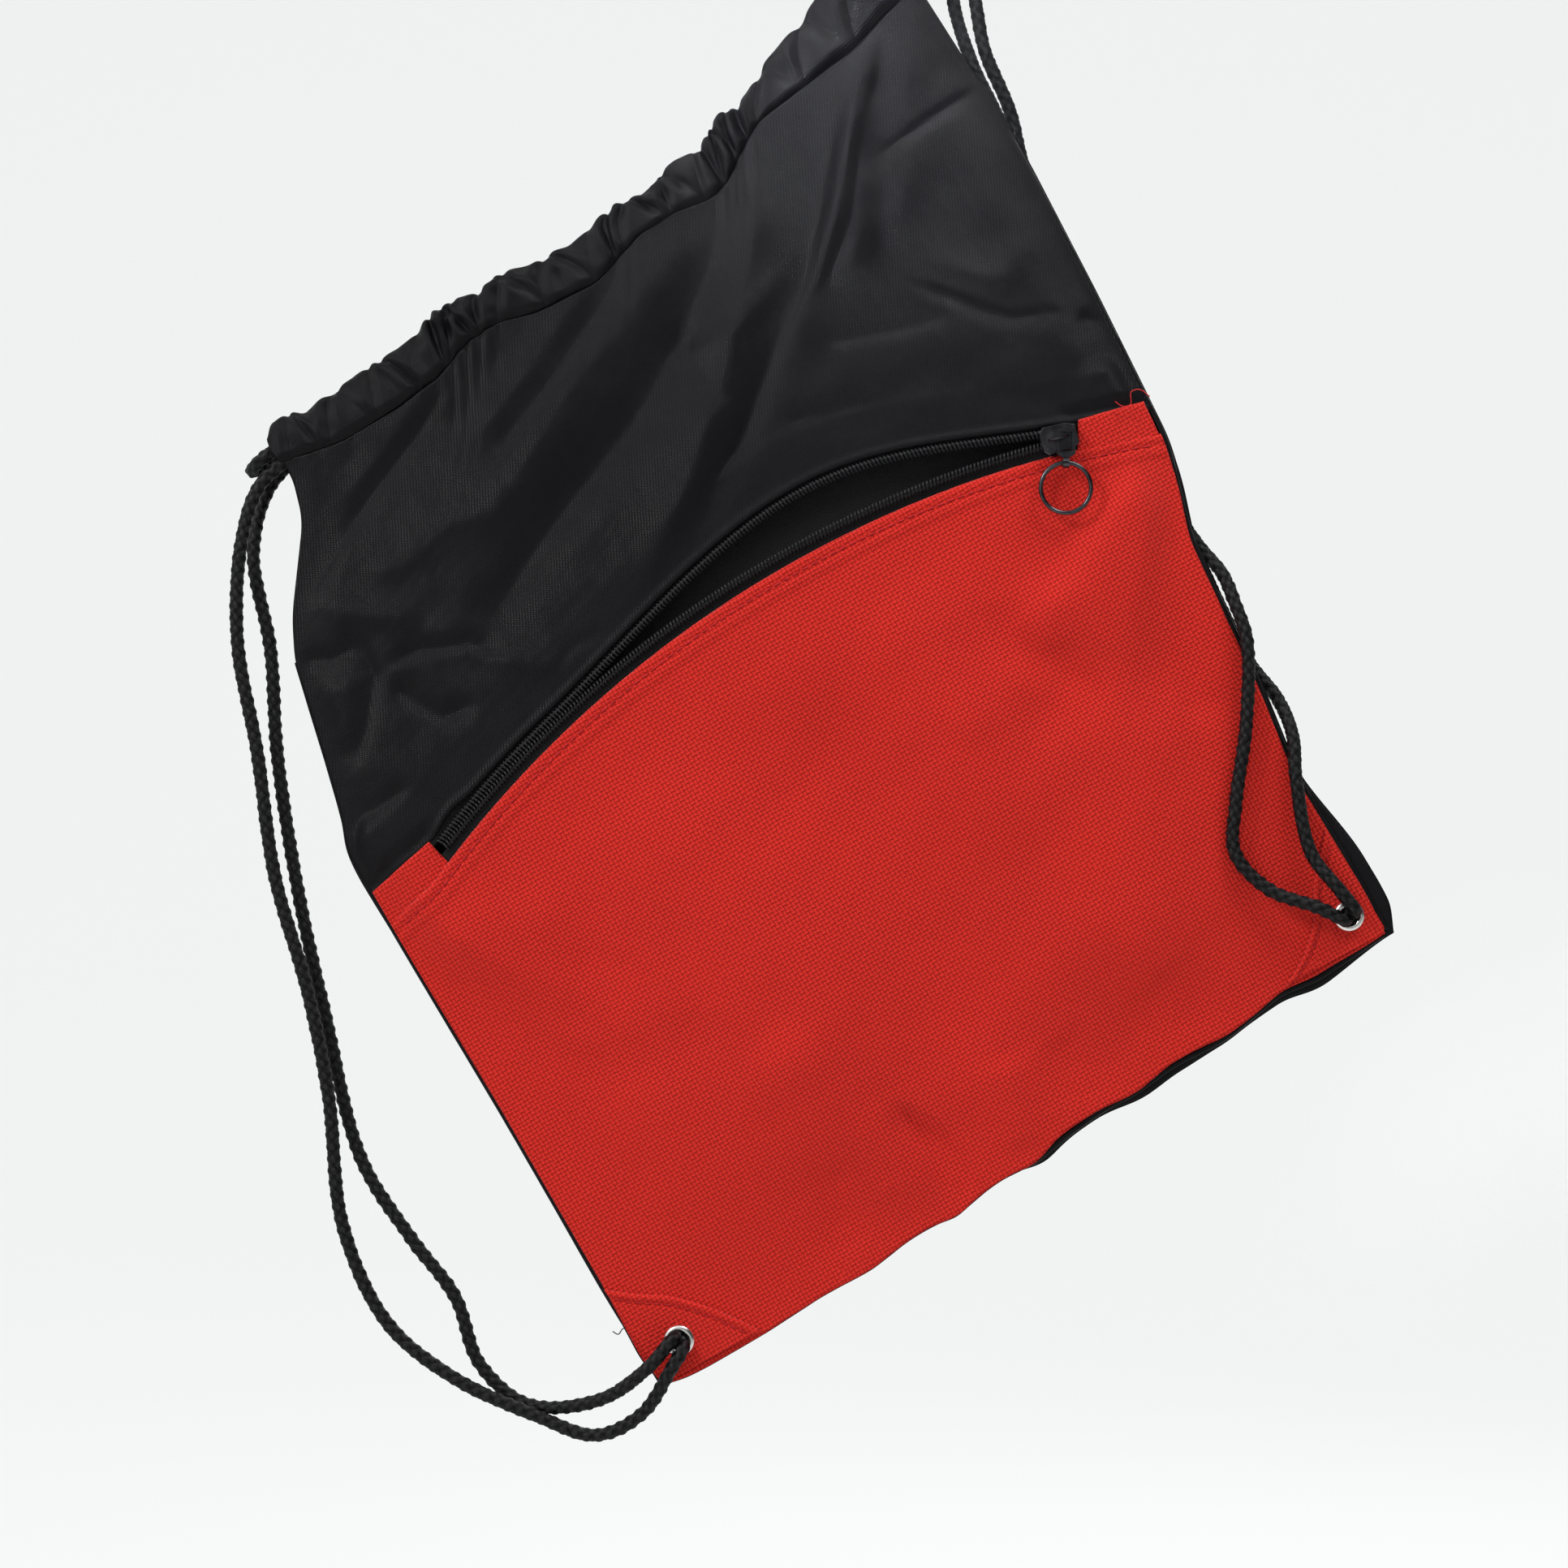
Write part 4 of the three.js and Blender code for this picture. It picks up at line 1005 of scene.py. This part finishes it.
# ---------------------------------------------------------------- seams
def piping(name, node, line_points, inward, low, high):
    """A bound seam: a soft strip with rounded long edges that follows the outline."""
    pts, _ = curve_through([(x, y, 0) for x, y in line_points], 1.6)
    a_out, b_out = pts[:, 0], pts[:, 1]
    tangent = np.gradient(pts[:, :2], axis=0)
    tangent /= np.linalg.norm(tangent, axis=1, keepdims=True)
    side = np.stack([-tangent[:, 1], tangent[:, 0]], 1) * (1 if inward else -1)
    section = []
    for k in range(14):
        turn = 2 * math.pi * k / 14
        x = 0.5 - 0.5 * math.copysign(abs(math.cos(turn)) ** 0.6, math.cos(turn))
        y = 0.5 + 0.5 * math.copysign(abs(math.sin(turn)) ** 0.6, math.sin(turn))
        section.append((x, y))
    gone = np.arange(len(pts)) * 1.6
    pucker = 1 + 0.10 * np.sin(gone / 2.2) + 0.08 * np.sin(gone / 5.1 + 1)
    rings = []
    for x, y in section:
        wide = SEAM * x
        d = low + (high - low) * (0.5 + (y - 0.5) * pucker)
        rings.append(world(a_out + side[:, 0] * wide, b_out + side[:, 1] * wide, d))
    ring = np.stack(rings, 1)
    faces = [tuple(f) for f in grid_faces(len(pts), 14, True)]
    n = ring.shape[0] * 14
    points = np.concatenate([ring.reshape(-1, 3), [ring[0].mean(0), ring[-1].mean(0)]])
    for k in range(14):
        faces.append((n, (k + 1) % 14, k))
        faces.append((n + 1, n - 14 + k, n - 14 + (k + 1) % 14))
    uv = np.stack([np.repeat(gone, 14), np.tile(np.arange(14) * 0.6, len(pts))], 1)
    uv = np.concatenate([uv, [[0, 0], [0, 0]]])
    return finish_mesh(name, points, faces, NYLON, "bag", [node], uv)


left_b = np.array([0, 40, 80, 122, 160, 200, 236, 250, 270, 290, 311])
piping("left_seam", "side_seam_left", [(edge_left(v), v) for v in left_b], False, -1.9, 1.1)
right_b = np.array([12, 40, 82, 118, 150, 180, 218, 242, 280, 320, 351])
piping("right_seam", "side_seam_right", [(edge_right(v), v) for v in right_b], True, -1.9, 1.1)
bottom_a = np.linspace(2, 327, 44)
piping("bottom_binding", "bottom_seam", [(v, bottom_line(v)) for v in bottom_a], True, -1.9, 1.0)


# ---------------------------------------------------------------- tabs and patches
def four_sided(corners, n_a, n_b):
    """Grid of points between four corners."""
    u, v = np.meshgrid(np.linspace(0, 1, n_a), np.linspace(0, 1, n_b))
    (ax, ay), (bx, by), (cx, cy), (dx, dy) = corners
    a = (ax * (1 - u) + bx * u) * (1 - v) + (dx * (1 - u) + cx * u) * v
    b = (ay * (1 - u) + by * u) * (1 - v) + (dy * (1 - u) + cy * u) * v
    return a, b, u, v


def rim_down(u, v, wide_u, wide_v):
    """1 inside a piece, falling to 0 over its last millimetre."""
    edge = np.minimum(np.minimum(u, 1 - u) * wide_u, np.minimum(v, 1 - v) * wide_v)
    return smooth(edge, 0, 1.0)


def tab(name, node, corners):
    """A red tab sewn over one end of the zip."""
    a, b, u, v = four_sided(corners, 44, 24)
    d = tab_bed(a, b) + 0.62 + 0.75 * v * rim_down(u, v, 34, 14)
    return cloth(name, a, b, d, 0.35, RED, "bag", [node])


tab("zip_tab_left", "zip_end_tab_left",
    [(-1.6, 202.4), (30.2, 213.4), (27.4, 225.4), (-1.6, 219.6)])
tab("zip_tab_right", "zip_end_tab_right",
    [(317.4, 230.4), (348.4, 219.0), (349.8, 234.8), (323.8, 241)])


def corner_patch(name, node, corner, hypotenuse, eyelet):
    """Three-sided patch fanned out from the bag's corner to its curved stitched edge."""
    curve, _ = curve_through([(x, y, 0) for x, y in hypotenuse], 1.2)
    along, out = np.meshgrid(np.linspace(0, 1, len(curve)), np.linspace(0.04, 1, 44))
    a = corner[0] + (curve[None, :, 0] - corner[0]) * out
    b = corner[1] + (curve[None, :, 1] - corner[1]) * out
    edge = smooth((1 - out) * 34, 0, 1.2)
    inward = (1 - out) * 34
    groove = -0.5 * np.exp(-((inward - 3.4) / 0.7) ** 2) + 0.45 * np.exp(-((inward - 1.3) / 1.1) ** 2)
    d = pocket_depth(a, b) + 0.2 + 1.0 * edge + groove
    obj = cloth(name, a, b, d, 0.5, RED, "bag", [node])
    with_eyelet_hole(obj, eyelet)
    pts = curve[:, :2] + (np.array(corner) - curve[:, :2]) * 0.1
    line_stitches(name + "_stitches", pts, lambda x, y: pocket_depth(x, y) + 0.95, THREAD_RED,
                  "bag", 3.8, 2.8, 0.34)
    return obj


corner_patch("patch_left", "corner_patch_left", (1.0, 0.2),
             [(-0.6, 43), (8, 36), (20.5, 27.5), (34, 13), (44, -1.2)], EYE_LEFT)
corner_patch("patch_right", "corner_patch_right", (328.6, 11.5),
             [(285, 13), (297, 20), (306.5, 29.5), (314, 42), (328, 58)], EYE_RIGHT)


# ---------------------------------------------------------------- eyelets
def lathe(name, node, profile, centre, sides=64):
    """An eyelet half: a closed profile of (radius, depth) turned round a line along d."""
    section, _ = curve_through([(r, d, 0) for r, d in profile + profile[:1]], 0.12)
    section = section[:-1]
    turn = np.arange(sides) * 2 * math.pi / sides
    r, t = section[:, 0][:, None], turn[None, :]
    points = world(centre[0] + r * np.cos(t), centre[1] + r * np.sin(t), section[:, 1][:, None] + 0 * t)
    points = points.reshape(-1, 3)
    rows = len(section)
    faces = []
    for i in range(rows):
        for k in range(sides):
            j, n = (i + 1) % rows, (k + 1) % sides
            faces.append((i * sides + k, i * sides + n, j * sides + n, j * sides + k))
    return finish_mesh(name, points, faces, SILVER, "bag", [node])


EYELET_SECTION = [(3.35, -2.6), (3.35, 0.5), (3.4, 2.9), (3.75, 3.6), (4.5, 3.95), (5.4, 3.75),
                  (6.0, 3.1), (6.05, 2.8), (5.6, 2.75), (4.2, 2.7), (3.9, 0.4), (3.9, -2.6)]
WASHER_SECTION = [(4.1, -1.7), (5.9, -1.75), (6.1, -2.1), (5.6, -2.6), (4.9, -2.75), (4.1, -2.7)]
for side, centre in (("left", EYE_LEFT), ("right", EYE_RIGHT)):
    lathe("eyelet_front_" + side, "eyelet_" + side, EYELET_SECTION, centre)
    lathe("eyelet_rear_" + side, "eyelet_washer_" + side, WASHER_SECTION, centre)


# ---------------------------------------------------------------- zip
def zip_points(angle, radius, lift):
    """Points (a, b) along the zip; lift is how far the row gapes at most."""
    turn = np.radians(angle)
    return (ZIP_A + radius * np.sin(turn), ZIP_B + radius * np.cos(turn) + lift * gape(angle))


def zip_tape(name, nodes, inner, outer, lift, start, end, body):
    angle, wide = np.meshgrid(np.linspace(start, end, int((end - start) * 7)), np.linspace(0, 1, 12))
    a, b = zip_points(angle, inner + (outer - inner) * wide, lift)
    d = 5.75 + 0.06 * np.sin(angle * 40)
    return cloth(name, a, b, d, 0.5, TAPE, body, nodes,
                 uv=np.stack([np.radians(angle) * 437, wide * (outer - inner)], -1))


def zip_teeth(name, nodes, radius, outward, lift, start, end, body):
    """One row of coil turns: each rib rises from the tape, crosses it and ends in a head."""
    pitch = math.degrees(1.5 / ZIP_R)
    profile = [(-1.35, 0.35), (-1.2, 1.15), (-0.7, 1.6), (0.1, 1.7), (0.8, 1.6), (1.25, 1.15),
               (1.35, 0.55)]
    x = np.array([p[0] for p in profile]) * outward
    y = np.array([p[1] for p in profile])
    thick = np.array([0.42, 0.45, 0.46, 0.44, 0.46, 0.58, 0.5])
    points, faces, count = [], [], 0
    for angle in np.arange(start, end, pitch):
        lean = np.linspace(-0.16, 0.16, 7) * pitch * 1.6
        a, b = zip_points(angle + lean, radius + x, lift)
        p, f = round_tube(world(a, b, 5.95 + y), 0.001 * thick, 8)
        points.append(p)
        faces += [tuple(i + count for i in face) for face in f]
        count += len(p)
    core = np.linspace(start, end, 160)
    a, b = zip_points(core, radius - 0.5 * outward, lift)
    p, f = round_tube(world(a, b, 6.55 + 0 * core), 0.00055, 8)
    points.append(p)
    faces += [tuple(i + count for i in face) for face in f]
    return finish_mesh(name, np.concatenate(points), faces, TEETH, body, nodes)


zip_tape("lower_tape", ["zip_tape_lower"], 427.0, 435.2, 0, -23.4, 16.9, "bag")
zip_teeth("lower_teeth", ["zip_coil_lower"], ZIP_R - 1.4, 1, 0, -22.2, 16.0, "bag")
PEAK = 3.5
halves = (("left", -23.4, PEAK, "bag", "lip", -14.0, PEAK),
          ("right", PEAK, 16.9, "lip", "bag", PEAK, 18.0))
for side, start, end, first, second, near, far in halves:
    strip = zip_tape("upper_tape_" + side, ["zip_tape_upper"], 439.4, 460.0, 15, start, end, None)
    row = zip_teeth("upper_teeth_" + side, ["zip_coil_upper"], ZIP_R + 1.4, -1, 15,
                    max(start, -22.2), min(end, 16.0), None)
    for obj in (strip, row):
        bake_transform(obj)

for node in ("zip_slider", "zip_puller"):
    obj = frame["nodes"][node]
    obj.data.materials.clear()
    obj.data.materials.append(GUNMETAL)
    edge = obj.modifiers.new("worn_edges", "BEVEL")
    edge.width = 0.00022
    edge.segments = 3
    edge.limit_method = "ANGLE"
    edge.angle_limit = math.radians(28)

low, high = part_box("pull_ring")
ring_middle = [(low[k] + high[k]) / 2 for k in range(3)]
turn = np.linspace(0, 2 * math.pi, 97)[:-1]
wire = np.linspace(0, 2 * math.pi, 17)[:-1]
t, w = np.meshgrid(turn, wire, indexing="ij")
RING_R, WIRE_R = 0.0096, 0.00085
points = np.stack([ring_middle[0] + (RING_R + WIRE_R * np.cos(w)) * np.sin(t),
                   ring_middle[1] + WIRE_R * np.sin(w),
                   ring_middle[2] + (RING_R + WIRE_R * np.cos(w)) * np.cos(t)], -1).reshape(-1, 3)
faces = []
for i in range(96):
    here, after = i * 16, (i + 1) % 96 * 16
    for k in range(16):
        beside = (k + 1) % 16
        faces.append((here + k, here + beside, after + beside, after + k))
finish_mesh("ring", points, faces, GUNMETAL, "ring", ["pull_ring"])


# ---------------------------------------------------------------- loose threads
def wisp(name, points_abd, mat, r=0.22):
    """A loose thread end."""
    path, _ = curve_through([world(*p) for p in points_abd], 0.0006)
    points, faces = round_tube(path, r / 1000, 7)
    return finish_mesh(name, points, faces, mat, "bag")


wisp("red_thread_end", [(352, 235, 6.5), (350, 239, 8), (346.5, 240, 8.4), (344, 236, 7.8),
                        (341, 237, 7.4), (339.5, 240, 7)], THREAD_RED)
wisp("black_thread_end", [(0.5, 24, 0.5), (-2, 26, 1.4), (-4.6, 25, 1.6), (-6, 27, 1)], THREAD_BLACK)

# ---------------------------------------------------------------- studio
def sweep(name, profile, pale, glow, half_width):
    """A wide pale surface, drawn as (y, z) points: the floor, or the backdrop behind the bag."""
    points = [(x, y, z) for y, z in profile for x in (-half_width, half_width)]
    faces = [(2 * i, 2 * i + 1, 2 * i + 3, 2 * i + 2) for i in range(len(profile) - 1)]
    look, tree, p = material(name, pale, 0.9)
    p.inputs["Specular IOR Level"].default_value = 0.0
    p.inputs["Emission Color"].default_value = (0.98, 1.0, 0.99, 1)
    p.inputs["Emission Strength"].default_value = glow
    finish_mesh(name, points, faces, look, None)


FLOOR_Z, WALL_Y, BEND = -0.95, 3.2, 1.0
curve = [math.pi / 2 * k / 12 for k in range(13)]
bend = [(WALL_Y - BEND + BEND * math.sin(t), FLOOR_Z + BEND - BEND * math.cos(t)) for t in curve]
sweep("floor", [(-30.0, FLOOR_Z), (0.9, FLOOR_Z)], (0.8, 0.81, 0.805), 0.0, 30.0)
sweep("backdrop", [(0.9, FLOOR_Z)] + bend + [(WALL_Y, 5.0)], (0.22, 0.223, 0.221), 0.73, 16.0)
